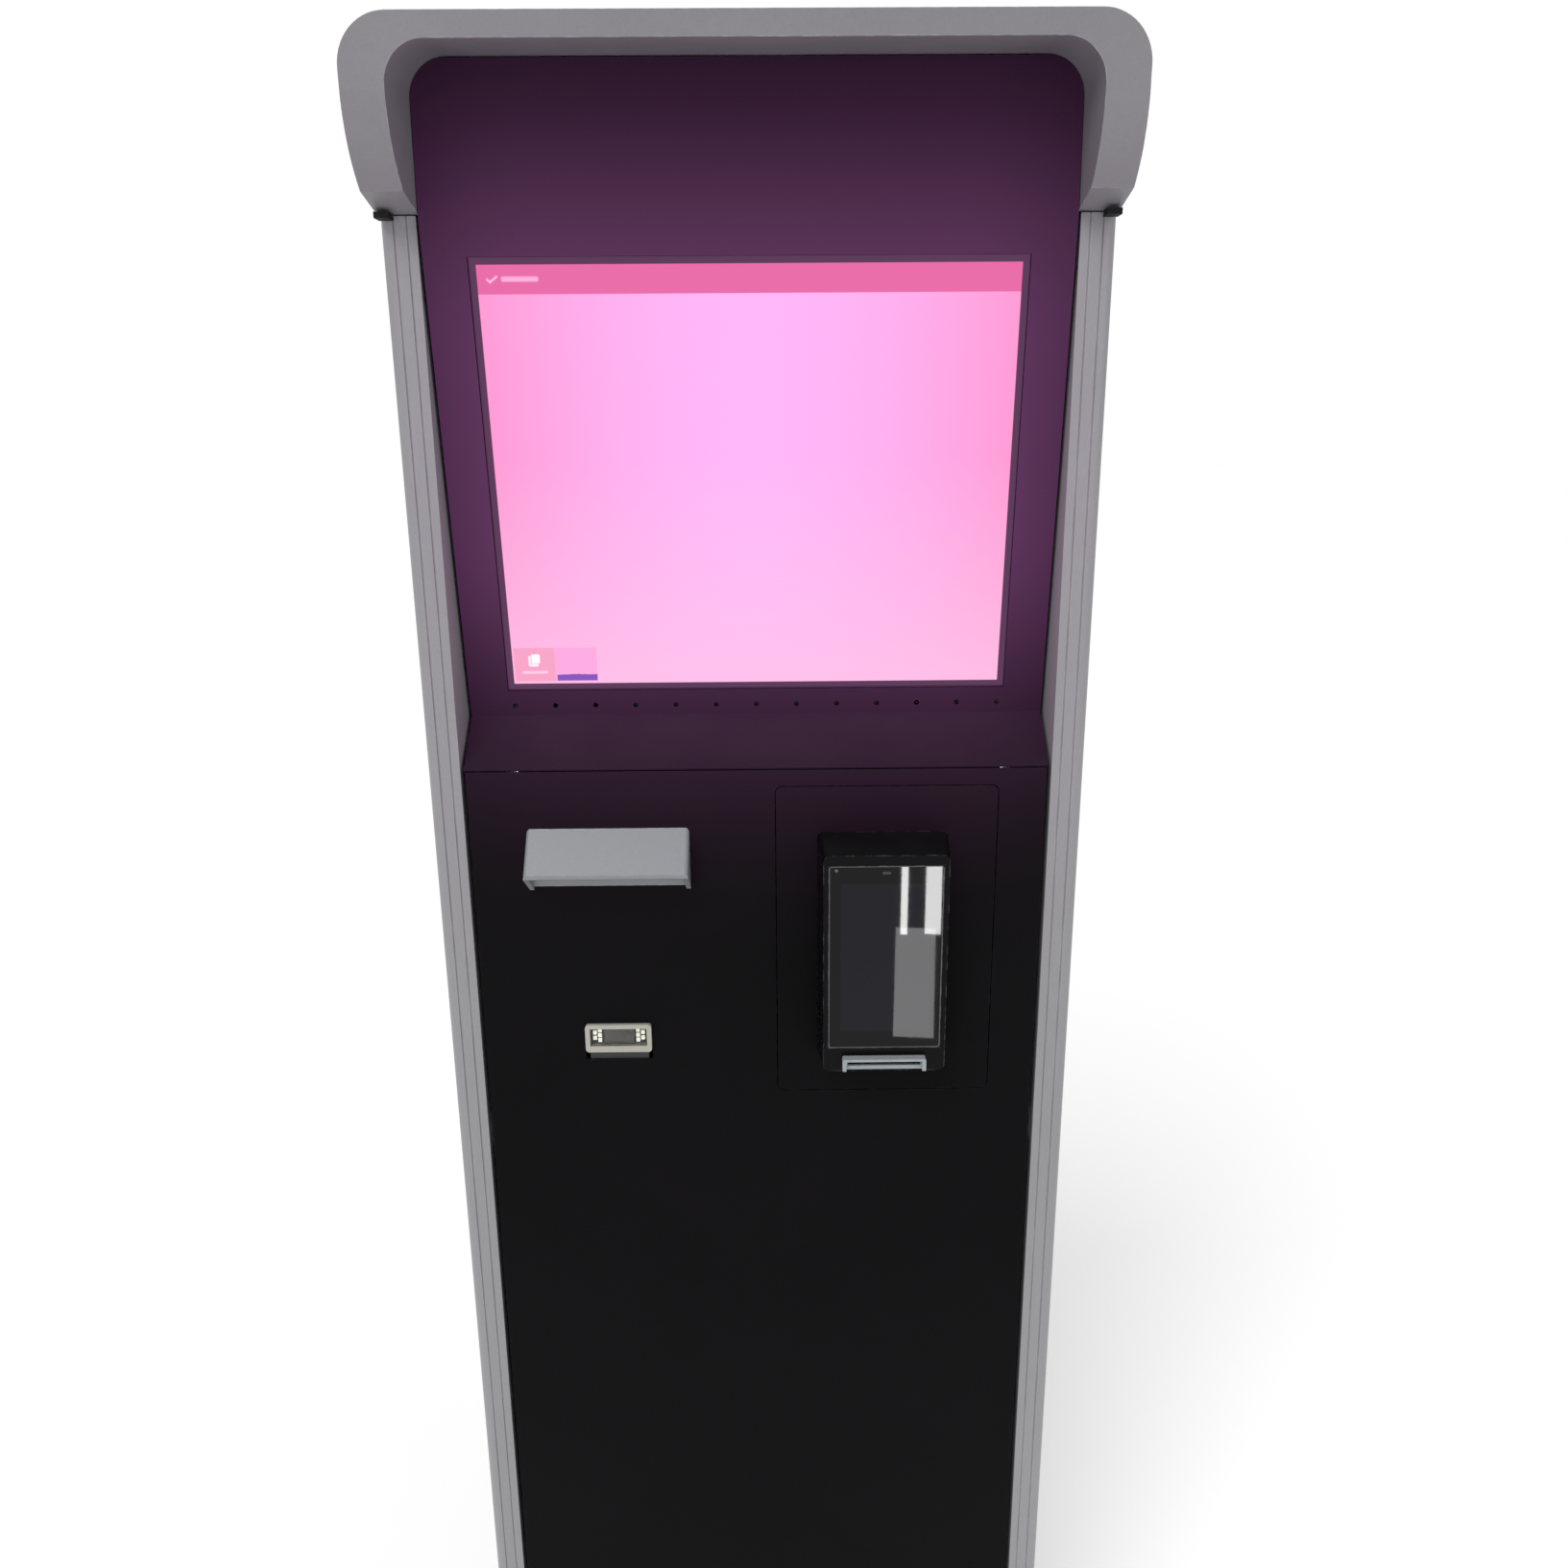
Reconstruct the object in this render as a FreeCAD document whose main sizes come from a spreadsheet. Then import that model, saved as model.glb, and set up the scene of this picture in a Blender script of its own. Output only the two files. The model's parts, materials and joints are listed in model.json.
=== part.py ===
import FreeCAD, Part
import Sketcher
import math
import os

# Self checkout kiosk, floor standing, in millimetres.
# +Z is up, the customer stands on the -Y side, and the origin is the middle of the base plate's underside.

os.makedirs("parts", exist_ok=True)
doc = FreeCAD.newDocument("SelfCheckoutKiosk")

# ---------------------------------------------------------------- driving dimensions
# alias, value, what it is
SIZES = [
    ("kiosk_width", 504, "outside of one post to outside of the other"),
    ("kiosk_height", 1650, "floor to the top of the hood"),
    ("front_plane", -110, "front faces of the posts"),
    ("rear_plane", 90, "rear faces of the rear posts"),
    ("sheet", 2, "thickness of the folded steel panels"),
    ("gap", 0.3, "clearance between pieces that are not a fit"),
    ("base_length", 520, "base plate across the kiosk"),
    ("base_depth", 420, "base plate front to back"),
    ("base_thickness", 8, "base plate"),
    ("base_corner", 20, "base plate corner radius"),
    ("anchor_span_x", 480, "floor anchor holes, across"),
    ("anchor_span_y", 360, "floor anchor holes, front to back"),
    ("anchor_bore", 14, "diameter of a floor anchor hole"),
    ("cable_bore", 50, "diameter of the floor cable hole"),
    ("post_width", 26, "post, across the kiosk"),
    ("post_depth", 60, "front post, front to back"),
    ("rear_post_depth", 40, "rear post, front to back"),
    ("post_wall", 2.5, "wall of the post extrusions"),
    ("post_round", 10, "rounded outer front edge of a front post"),
    ("post_top", 1543, "top of the posts"),
    ("groove_width", 1.2, "lengthwise line in a post's front face"),
    ("groove_depth", 0.8, "depth of that line"),
    ("side_sheet", 3, "side panel thickness"),
    ("side_inset", 3, "side panel behind the posts' outer faces"),
    ("rail_size", 30, "square tube of the cross rails"),
    ("rail_wall", 2, "wall of the cross rails"),
    ("leg_length", 40, "foot bracket leg"),
    ("leg_width", 30, "foot bracket width"),
    ("leg_thick", 3, "foot bracket thickness"),
    ("hood_reach", 57, "hood in front of the posts"),
    ("hood_side", 28, "hood band width at the sides"),
    ("hood_lip", 15.5, "hood band height at the front edge of the top"),
    ("hood_rise", 5.5, "rise of the hood's underside from front edge to display panel"),
    ("hood_corner", 32, "outer corner radius of the hood"),
    ("hood_inner_corner", 26, "inner corner radius of the hood"),
    ("hood_sweep", 70, "radius of the sweep from the hood's front edge to the arm ends"),
    ("sweep_corner", 73, "height of the sweep's corner below the hood's top"),
    ("crease_reach", 33, "crease near the arm end, in front of the posts"),
    ("crease_height", 1552.5, "height of that crease"),
    ("hood_wall", 3, "wall of the hollow hood arms"),
    ("hood_seal", 1, "rubber seal between arm and post"),
    ("seal_reach", 12, "rubber stop in front of the post, under the arm"),
    ("seal_drop", 3, "rubber stop below the post's top"),
    ("screen_tilt", 6.9, "lean of the display plane, top towards the customer, degrees"),
    ("fold_height", 1538, "fold between the upper plate and the display plane"),
    ("fold_reach", 4, "fold in front of the posts"),
    ("panel_half", 223.4, "half width of the display panel"),
    ("panel_top", 1639, "top edge of the upper plate"),
    ("panel_corner", 24, "top corner radius of the upper plate"),
    ("display_length", 353, "display plane from fold to ledge"),
    ("ledge_front", 1154, "front edge of the sloped ledge"),
    ("screen_width", 376.3, "lit area of the 19 inch 5:4 screen"),
    ("screen_height", 301.1, "lit area of the 19 inch 5:4 screen"),
    ("screen_drop", 26.2, "fold to the lit area's top"),
    ("screen_margin", 5, "lit area to the aperture edge"),
    ("glass_margin", 12, "lit area to the glass edge"),
    ("gasket_thick", 1, "screen gasket"),
    ("glass_thick", 3, "touch glass"),
    ("lcd_depth", 8, "LCD module"),
    ("chassis_depth", 40, "monitor chassis"),
    ("chassis_wall", 1.5, "wall of the monitor chassis"),
    ("sound_hole", 4, "diameter of the speaker holes"),
    ("sound_pitch", 31.4, "spacing of the speaker holes"),
    ("sound_height", 1196, "height of the speaker holes"),
    ("sound_count", 13, "number of speaker holes"),
    ("lower_half", 222.4, "half width of the lower front panel"),
    ("lower_foot", 14, "lower edge of the lower front panel"),
    ("flange", 15, "return flange of the panels"),
    ("plate_centre", 100.2, "terminal plate middle, right of centre"),
    ("plate_width", 171.4, "terminal plate"),
    ("plate_height", 259, "terminal plate"),
    ("plate_middle", 1009, "height of the terminal plate's middle"),
    ("plate_groove", 0.8, "groove round the terminal plate"),
    ("plate_round", 6, "corner radius of the terminal plate"),
    ("terminal_centre", 97.2, "terminal middle, right of centre"),
    ("terminal_rear_width", 102, "terminal housing at the plate"),
    ("terminal_front_width", 95, "terminal housing at its front"),
    ("terminal_top", 1102, "terminal housing, top at the plate"),
    ("terminal_bottom", 912, "terminal housing, bottom at the plate"),
    ("terminal_slope", 6, "fall of the housing's top towards the front"),
    ("terminal_reach", 40, "terminal in front of the panel"),
    ("terminal_body", 84, "width of the terminal's rear body"),
    ("terminal_glass_width", 86, "front glass"),
    ("terminal_glass_height", 149, "front glass"),
    ("terminal_glass_middle", 1012.7, "height of the front glass's middle"),
    ("terminal_glass_thick", 1.5, "front glass"),
    ("terminal_screen_width", 68.5, "5.5 inch 9:16 display"),
    ("terminal_screen_height", 121.8, "5.5 inch 9:16 display"),
    ("slot_bezel_width", 65, "card slot bezel"),
    ("slot_bezel_height", 10, "card slot bezel"),
    ("slot_bar", 2, "bar above the card slot's mouth"),
    ("slot_cheek", 3, "cheek at each end of the card slot"),
    ("slot_middle", 926.5, "height of the card slot"),
    ("slot_reach", 7, "card slot bezel in front of the housing"),
    ("slot_width", 57, "card slot"),
    ("slot_height", 5, "mouth of the card slot"),
    ("receipt_centre", -115.6, "receipt bezel middle, left of centre"),
    ("receipt_width", 126, "receipt bezel"),
    ("receipt_top", 1106.5, "receipt bezel top"),
    ("receipt_bottom", 1056.5, "receipt bezel bottom"),
    ("receipt_reach", 25, "receipt lip in front of the panel"),
    ("receipt_lip", 1074, "underside of the receipt lip"),
    ("receipt_cheek", 3.5, "side cheek of the receipt bezel"),
    ("receipt_wall", 3, "wall of the receipt bezel"),
    ("outlet_width", 84, "paper outlet"),
    ("outlet_height", 4.6, "paper outlet"),
    ("scanner_centre", -114.6, "scanner middle, left of centre"),
    ("scanner_width", 53.5, "scanner bezel"),
    ("scanner_height", 24, "scanner bezel"),
    ("scanner_middle", 928.7, "height of the scanner's middle"),
    ("scanner_depth", 58, "scanner body"),
    ("window_width", 46, "scanner window"),
    ("window_height", 15.5, "scanner window"),
    ("scanner_strip", 8, "bracket strip that shows under the scanner"),
    ("tray_height", 1000, "printer tray, underside"),
    ("printer_half", 50, "half width of the printer frame"),
    ("platen_radius", 7, "platen rubber"),
    ("platen_shaft", 5, "platen shaft diameter"),
    ("platen_length", 82, "platen rubber length"),
    ("platen_y", -80, "platen axis"),
    ("platen_z", 1077, "platen axis"),
    ("gear_module", 1, "pitch diameter per tooth"),
    ("gear_teeth", 20, "teeth of the platen gear"),
    ("motor_gear_teeth", 10, "teeth of the motor gear"),
    ("tooth_width", 1.2, "width of a gear tooth"),
    ("tooth_rise", 0.6, "tooth tip above the pitch circle"),
    ("tooth_fall", 0.9, "tooth root below the pitch circle"),
    ("gear_line", 36, "fall of the line from the platen axis to the motor axis, degrees"),
    ("lid_hinge_y", -44, "printer lid hinge"),
    ("lid_hinge_z", 1077, "printer lid hinge"),
    ("roll_radius", 40, "full paper roll"),
    ("roll_width", 80, "paper width"),
    ("roll_core", 9, "outer radius of the roll's core"),
    ("spindle_radius", 6, "roll spindle"),
    ("fit", 0.05, "running clearance of a shaft, on the radius"),
    ("roll_y", 12, "roll axis"),
    ("roll_z", 1050, "roll axis"),
    ("shelf_height", 500, "equipment shelf"),
    ("door_bottom", 200, "service door, lower edge"),
    ("door_top", 1150, "service door, upper edge"),
    ("door_half", 221.5, "half width of the service door"),
    ("hinge_x", 224, "hinge axis"),
    ("hinge_out", 3.5, "hinge axis behind the rear plane"),
    ("pin_radius", 1.5, "hinge pin"),
    ("barrel_radius", 3, "hinge knuckle"),
    ("knuckle", 16, "length of one hinge knuckle"),
    ("lock_radius", 9, "lock barrel"),
    ("lock_x", -196, "lock axis"),
    ("lock_z", 675, "lock axis"),
    ("fan_size", 80, "cooling fan frame"),
    ("fan_depth", 25, "cooling fan frame"),
    ("fan_bore", 76, "cooling fan frame opening"),
    ("fan_z", 1588, "fan axis height"),
]

sheet = doc.addObject("Spreadsheet::Sheet", "Sizes")
for row, (alias, value, meaning) in enumerate(SIZES, start=1):
    sheet.set(f"A{row}", meaning)
    sheet.set(f"B{row}", str(value))
    sheet.setAlias(f"B{row}", alias)
doc.recompute()


class Measure:
    """A number that carries the spreadsheet expression it came from."""

    def __init__(self, value, text):
        self.value = float(value)
        self.text = text

    def join(self, other, sign, value):
        text = other.text if isinstance(other, Measure) else repr(float(other))
        return Measure(value, f"({self.text} {sign} {text})")

    def __add__(self, other):
        return self.join(other, "+", self.value + number(other))

    def __sub__(self, other):
        return self.join(other, "-", self.value - number(other))

    def __mul__(self, other):
        return self.join(other, "*", self.value * number(other))

    def __truediv__(self, other):
        return self.join(other, "/", self.value / number(other))

    def __neg__(self):
        return self * -1

    def __radd__(self, other):
        return self + other

    def __rsub__(self, other):
        return -self + other

    def __rmul__(self, other):
        return self * other

    def turned(self, function):
        """Sine, cosine or tangent of this measure, taken as degrees."""
        value = getattr(math, function)(math.radians(self.value))
        return Measure(value, f"{function}({self.text} * 1 deg)")


def number(item):
    return item.value if isinstance(item, Measure) else float(item)


class Cells:
    """The sheet's cells as measures: size.kiosk_width and so on."""


size = Cells()
for alias, value, _ in SIZES:
    setattr(size, alias, Measure(value, f"Sizes.{alias}"))

half_width = size.kiosk_width / 2
inner_half = half_width - size.post_width
front = size.front_plane
rear = size.rear_plane
tilt_sine = size.screen_tilt.turned("sin")
tilt_cosine = size.screen_tilt.turned("cos")

sub_parts = []


# ---------------------------------------------------------------- helpers
def bind(item, name, amount):
    """Tie one property of an object to its measure."""
    if isinstance(amount, Measure):
        item.setExpression(name, amount.text)
    else:
        item.setExpression(name, repr(float(amount)))


def publish(item, label):
    """Make an object one of the kiosk's sub-parts."""
    item.Label = label
    sub_parts.append(item)
    return item


def span(centre, width):
    return centre - width / 2, centre + width / 2


def box(x, y, z):
    """A block between two corners, each axis given as (low, high)."""
    block = doc.addObject("Part::Box", "Block")
    for side, (low, high) in zip(("Length", "Width", "Height"), (x, y, z)):
        bind(block, side, high - low)
    for axis, (low, _) in zip("xyz", (x, y, z)):
        bind(block, f"Placement.Base.{axis}", low)
    return block


AXIS_TURN = {
    "x": FreeCAD.Rotation(FreeCAD.Vector(0, 1, 0), 90),
    "y": FreeCAD.Rotation(FreeCAD.Vector(1, 0, 0), -90),
    "z": FreeCAD.Rotation(),
}


def rod(axis, radius, start, length):
    """A cylinder that starts at a point and runs along +axis."""
    cylinder = doc.addObject("Part::Cylinder", "Rod")
    bind(cylinder, "Radius", radius)
    bind(cylinder, "Height", length)
    cylinder.Placement = FreeCAD.Placement(FreeCAD.Vector(0, 0, 0), AXIS_TURN[axis])
    for letter, place in zip("xyz", start):
        bind(cylinder, f"Placement.Base.{letter}", place)
    return cylinder


def fuse(*pieces):
    union = doc.addObject("Part::MultiFuse", "Union")
    union.Shapes = list(pieces)
    return union


def cut(base, *tools):
    """The base less every tool."""
    result = doc.addObject("Part::Cut", "Cut")
    result.Base = base
    result.Tool = tools[0] if len(tools) == 1 else fuse(*tools)
    return result


def group(*pieces):
    """Separate solids that share one node."""
    compound = doc.addObject("Part::Compound", "Group")
    compound.Links = list(pieces)
    return compound


def new_body():
    return doc.addObject("PartDesign::Body", "Body")


def origin_item(body, role):
    return [item for item in body.Origin.OriginFeatures if item.Role == role][0]


def new_sketch(body, plane, offset):
    """A sketch parallel to an origin plane; offset is measured along +X, +Y or +Z."""
    sketch = body.newObject("Sketcher::SketchObject", "Sketch")
    sketch.AttachmentSupport = [(origin_item(body, f"{plane}_Plane"), "")]
    sketch.MapMode = "FlatFace"
    bind(sketch, "AttachmentOffset.Base.z", -1 * offset if plane == "XZ" else offset)
    return sketch


def hold(sketch, kind, edge, end, amount):
    """Hold one coordinate of a sketch point at a measured distance from the origin."""
    if abs(number(amount)) < 1e-9:
        axis = -2 if kind == "DistanceX" else -1
        sketch.addConstraint(Sketcher.Constraint("PointOnObject", edge, end, axis))
        return
    index = sketch.addConstraint(Sketcher.Constraint(kind, -1, 1, edge, end, number(amount)))
    if isinstance(amount, Measure):
        sketch.setExpression(f"Constraints[{index}]", amount.text)


def polygon(points):
    """Draws a closed outline through measured points."""
    def draw(sketch):
        vectors = [FreeCAD.Vector(number(a), number(b), 0) for a, b in points]
        first = sketch.GeometryCount
        for start, end in zip(vectors, vectors[1:] + vectors[:1]):
            sketch.addGeometry(Part.LineSegment(start, end))
        for index, (a, b) in enumerate(points):
            edge = first + index
            following = first + (index + 1) % len(points)
            sketch.addConstraint(Sketcher.Constraint("Coincident", edge, 2, following, 1))
            hold(sketch, "DistanceX", edge, 1, a)
            hold(sketch, "DistanceY", edge, 1, b)
    return draw


def rectangle(a, b):
    """Draws a rectangle given as (low, high) in each direction."""
    return polygon([(a[0], b[0]), (a[1], b[0]), (a[1], b[1]), (a[0], b[1])])


def circles(radius, *centres):
    """Draws equal circles at measured centres."""
    def draw(sketch):
        for a, b in centres:
            middle = FreeCAD.Vector(number(a), number(b), 0)
            index = sketch.addGeometry(Part.Circle(middle, FreeCAD.Vector(0, 0, 1), number(radius)))
            row = sketch.addConstraint(Sketcher.Constraint("Radius", index, number(radius)))
            if isinstance(radius, Measure):
                sketch.setExpression(f"Constraints[{row}]", radius.text)
            hold(sketch, "DistanceX", index, 3, a)
            hold(sketch, "DistanceY", index, 3, b)
    return draw


def pad(body, plane, reach, *outlines):
    """Add material between two distances, (low, high), along the plane's axis."""
    low, high = reach
    sketch = new_sketch(body, plane, high if plane == "XZ" else low)
    for outline in outlines:
        outline(sketch)
    feature = body.newObject("PartDesign::Pad", "Pad")
    feature.Profile = sketch
    bind(feature, "Length", high - low)
    doc.recompute()
    return feature


def pocket(body, plane, reach, *outlines):
    """Remove material between two distances, (low, high), and make sure that some went."""
    low, high = reach
    before = body.Shape.Volume
    sketch = new_sketch(body, plane, low if plane == "XZ" else high)
    for outline in outlines:
        outline(sketch)
    feature = body.newObject("PartDesign::Pocket", "Pocket")
    feature.Profile = sketch
    bind(feature, "Length", high - low)
    doc.recompute()
    if body.Shape.Volume > before - 1e-3:
        raise ValueError(f"a pocket on {plane} removed nothing")
    return feature


def repeat(body, feature, axis, pitch, count):
    """Repeat a feature along an axis of the body."""
    pattern = body.newObject("PartDesign::LinearPattern", "Row")
    pattern.Originals = [feature]
    pattern.Direction = (origin_item(body, f"{axis}_Axis"), [""])
    bind(pattern, "Length", pitch * (number(count) - 1))
    bind(pattern, "Occurrences", count)
    body.Tip = pattern
    doc.recompute()
    return pattern


def along(edge, axis):
    """True for a straight edge that runs along an axis."""
    if edge.Curve.TypeId != "Part::GeomLine":
        return False
    run = edge.Curve.Direction
    return abs(getattr(run, axis)) > 0.99


def round_edges(body, radius, chosen):
    """Fillet the edges of the body for which chosen(edge, middle) is true."""
    base = body.Tip
    names = []
    for index, edge in enumerate(base.Shape.Edges, start=1):
        if chosen(edge, edge.CenterOfMass):
            names.append(f"Edge{index}")
    if not names:
        raise ValueError("no edge to round")
    feature = body.newObject("PartDesign::Fillet", "Round")
    feature.Base = (base, names)
    bind(feature, "Radius", radius)
    doc.recompute()
    if "Invalid" in feature.State:
        raise RuntimeError(f"an edge could not be rounded by {number(radius)} mm")
    return feature


def lean(item):
    """Set a piece, made about the fold of the display panel, at the display plane's tilt."""
    turn = FreeCAD.Rotation(FreeCAD.Vector(1, 0, 0), number(size.screen_tilt))
    item.Placement = FreeCAD.Placement(FreeCAD.Vector(0, 0, 0), turn)
    bind(item, "Placement.Base.y", front - size.fold_reach)
    bind(item, "Placement.Base.z", size.fold_height)
    bind(item, "Placement.Rotation.Angle", size.screen_tilt)
    return item


def mirrored(side, inner, outer):
    """The X reach of a piece that lies between two distances from the middle, on one side."""
    return (inner, outer) if side > 0 else (-outer, -inner)


SIDES = ((-1, "left"), (1, "right"))

# ---------------------------------------------------------------- base and frame
def base_plate():
    body = new_body()
    half_length = size.base_length / 2
    half_depth = size.base_depth / 2
    thickness = (0, size.base_thickness)
    pad(body, "XY", thickness, rectangle((-half_length, half_length), (-half_depth, half_depth)))
    x = size.anchor_span_x / 2
    y = size.anchor_span_y / 2
    pocket(body, "XY", thickness, circles(size.anchor_bore / 2, (x, y), (-x, y), (-x, -y), (x, -y)))
    pocket(body, "XY", thickness, circles(size.cable_bore / 2, (0, 20)))
    round_edges(body, size.base_corner, lambda edge, middle: along(edge, "z"))
    publish(body, "base_plate")


def foot_brackets():
    """Angle brackets that tie each post to the base plate."""
    low = size.base_thickness
    brackets = []
    for side, _ in SIDES:
        for y in (front + 30, rear - 20):
            reach = span(y, size.leg_width)
            upright = mirrored(side, inner_half - size.leg_thick, inner_half)
            foot = mirrored(side, inner_half - size.leg_length, inner_half)
            brackets.append(fuse(
                box(upright, reach, (low, low + size.leg_length)),
                box(foot, reach, (low, low + size.leg_thick)),
            ))
    publish(group(*brackets), "foot_brackets")


def post(side, y, rounded):
    """A hollow upright; a front post has a rounded outer edge and two lines along its face."""
    body = new_body()
    height = (size.base_thickness, size.post_top)
    pad(body, "XY", height, rectangle(mirrored(side, inner_half, half_width), y))
    wall = size.post_wall
    hollow = mirrored(side, inner_half + wall, half_width - wall)
    pocket(body, "XY", height, rectangle(hollow, (y[0] + wall, y[1] - wall)))
    if rounded:
        outer_x = side * number(half_width)
        corner = FreeCAD.Vector(outer_x, number(front), 0)
        inside = FreeCAD.Vector(outer_x - side * number(wall), number(front + wall), 0)
        for place, radius in ((inside, size.post_round - wall), (corner, size.post_round)):
            round_edges(body, radius, lambda edge, middle: (
                along(edge, "z") and math.hypot(middle.x - place.x, middle.y - place.y) < 0.1))
        for offset in (6, 15):
            line = mirrored(side, inner_half + offset, inner_half + offset + size.groove_width)
            pocket(body, "XY", height, rectangle(line, (front, front + size.groove_depth)))
    return body


def lock_strike():
    """Steel tab on the left rear post, which the turned cam of the door lock catches behind."""
    inside = rear - 20
    height = span(size.lock_z, 40)
    tab = box((-inner_half, size.lock_x - 18), (inside, inside + 2), height)
    foot = box((-inner_half, -inner_half + 2), (inside - 12, inside), height)
    return tab, foot


def side_panel(label, side):
    outer = half_width - size.side_inset
    x = mirrored(side, outer - size.side_sheet, outer)
    y = (front + size.post_depth, rear - size.rear_post_depth)
    publish(box(x, y, (size.base_thickness, size.post_top)), label)


def cross_rails():
    """Square tubes between the left and right posts."""
    behind_front = front + 18
    behind_rear = rear - size.sheet - size.rail_size
    between_arms = half_width - size.hood_side
    places = [
        (behind_front, 60, inner_half), (behind_rear, 60, inner_half), (behind_front, 820, inner_half),
        (behind_rear, 1156, inner_half), (behind_rear, 1500, inner_half), (behind_front, 1560, between_arms),
    ]
    wall = size.rail_wall
    rails = []
    for y, z, half in places:
        x = (-half, half)
        outside = box(x, (y, y + size.rail_size), (z, z + size.rail_size))
        inside = box(x, (y + wall, y + size.rail_size - wall), (z + wall, z + size.rail_size - wall))
        rails.append(cut(outside, inside))
    publish(group(*rails), "cross_rails")


# ---------------------------------------------------------------- hood
def hood():
    """A deep band over the top and both sides; its front edge sweeps back to the posts."""
    body = new_body()
    arm_end = size.post_top + size.hood_seal
    top = size.kiosk_height
    edge_y = front - size.hood_reach
    pad(body, "YZ", (-half_width, half_width), polygon([
        (rear, arm_end), (front, arm_end), (front - size.crease_reach, size.crease_height),
        (edge_y, top - size.sweep_corner), (edge_y, top), (rear, top),
    ]))
    round_edges(body, size.hood_corner, lambda edge, middle: (
        along(edge, "y") and middle.z > number(top) - 0.1))
    inner = half_width - size.hood_side
    roof = top - size.hood_lip
    below = arm_end - 10
    pocket(body, "YZ", (-inner, inner), polygon([
        (rear + 1, below), (edge_y - 1, below), (edge_y - 1, roof), (edge_y, roof),
        (front + 1, roof + size.hood_rise), (rear + 1, roof + size.hood_rise),
    ]))
    round_edges(body, size.hood_inner_corner, lambda edge, middle: (
        abs(abs(middle.x) - number(inner)) < 0.1 and middle.z > number(roof) - 0.5
        and edge.Length > 40))
    round_edges(body, size.hood_sweep, lambda edge, middle: (
        along(edge, "x") and abs(middle.y - number(edge_y)) < 0.1
        and abs(middle.z - number(top - size.sweep_corner)) < 0.1))
    wall = size.hood_wall
    for side, _ in SIDES:
        hollow = mirrored(side, inner + wall, half_width - wall)
        pocket(body, "XY", (arm_end - 1, top - 45), rectangle(hollow, (front + wall, rear - wall)))
    publish(body, "hood")


def hood_seals():
    """Thin rubber under each arm, with a stop that hangs in front of the post's outer edge."""
    seals = []
    top = size.post_top + size.hood_seal
    for side, _ in SIDES:
        strip = box(mirrored(side, inner_half + 0.5, half_width - 0.5), (front, rear), (size.post_top, top))
        stop = box(
            mirrored(side, half_width - 11, half_width - 1),
            (front - size.seal_reach, front), (size.post_top - size.seal_drop, top))
        seals.append(fuse(strip, stop))
    publish(group(*seals), "hood_seals")


# ---------------------------------------------------------------- front panels
fold_y = front - size.fold_reach
ledge_y = fold_y + size.display_length * tilt_sine
ledge_z = size.fold_height - size.display_length * tilt_cosine
screen_middle = size.screen_drop + size.screen_height / 2


def display_panel():
    """One folded sheet: upper plate, display plane and the ledge below it."""
    body = new_body()
    thick = size.sheet
    pad(body, "YZ", (-size.panel_half, size.panel_half), polygon([
        (front + 1, size.panel_top), (fold_y, size.fold_height), (ledge_y, ledge_z),
        (front, size.ledge_front), (front + thick * 0.7, size.ledge_front - thick * 0.74),
        (ledge_y + thick, ledge_z - thick * 0.3), (fold_y + thick, size.fold_height),
        (front + 1 + thick, size.panel_top),
    ]))
    round_edges(body, size.panel_corner, lambda edge, middle: (
        along(edge, "y") and middle.z > number(size.panel_top) - 0.1))
    half = size.screen_width / 2 + size.screen_margin
    high = size.fold_height - (size.screen_drop - size.screen_margin) * tilt_cosine
    low = high - (size.screen_height + 2 * size.screen_margin) * tilt_cosine
    through = (front - 20, front + 60)
    pocket(body, "XZ", through, rectangle((-half, half), (low, high)))
    first = -size.sound_pitch * (size.sound_count - 1) / 2
    hole = pocket(body, "XZ", through, circles(size.sound_hole / 2, (first, size.sound_height)))
    repeat(body, hole, "X", size.sound_pitch, size.sound_count)
    publish(body, "display_panel")


def channel(half, low_y, high_y, lip_y, thick):
    """Outline of a sheet with both side edges folded; the sheet lies from low_y to high_y."""
    return polygon([
        (-half, low_y), (half, low_y), (half, lip_y), (half - thick, lip_y),
        (half - thick, high_y), (-half + thick, high_y), (-half + thick, lip_y), (-half, lip_y),
    ])


scanner_x = size.scanner_centre
receipt_x = size.receipt_centre
terminal_x = size.terminal_centre
scanner_foot = size.scanner_middle - size.scanner_height / 2


def lower_front_panel():
    body = new_body()
    back = front + size.sheet
    outline = channel(size.lower_half, front, back, back + size.flange, size.sheet)
    pad(body, "XY", (size.lower_foot, size.ledge_front - 2), outline)
    through = (front - 1, back + 1)
    groove = 2 * size.plate_groove
    pocket(body, "XZ", through, rectangle(
        span(size.plate_centre, size.plate_width + groove),
        span(size.plate_middle, size.plate_height + groove)))
    round_edges(body, size.plate_round, lambda edge, middle: (
        along(edge, "y") and abs(middle.x - number(size.plate_centre)) < 100))
    pocket(body, "XZ", through, rectangle(
        span(receipt_x, size.receipt_width - 16), (size.receipt_bottom + 4, size.receipt_top - 4)))
    pocket(body, "XZ", through, rectangle(
        span(scanner_x, size.scanner_width + 1),
        (scanner_foot - size.scanner_strip, scanner_foot + size.scanner_height + 0.5)))
    publish(body, "lower_front_panel")


# ---------------------------------------------------------------- monitor and speaker
def screen_frame(margin_out, margin_in, depth):
    """A flat frame about the lit area, leaning with the display plane."""
    def reach(margin):
        across = span(0, size.screen_width + 2 * margin)
        return across, span(-screen_middle, size.screen_height + 2 * margin)
    x_out, z_out = reach(margin_out)
    x_in, z_in = reach(margin_in)
    return cut(box(x_out, depth, z_out), box(x_in, depth, z_in))


def screen_block(margin, depth):
    across = span(0, size.screen_width + 2 * margin)
    return box(across, depth, span(-screen_middle, size.screen_height + 2 * margin))


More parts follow.
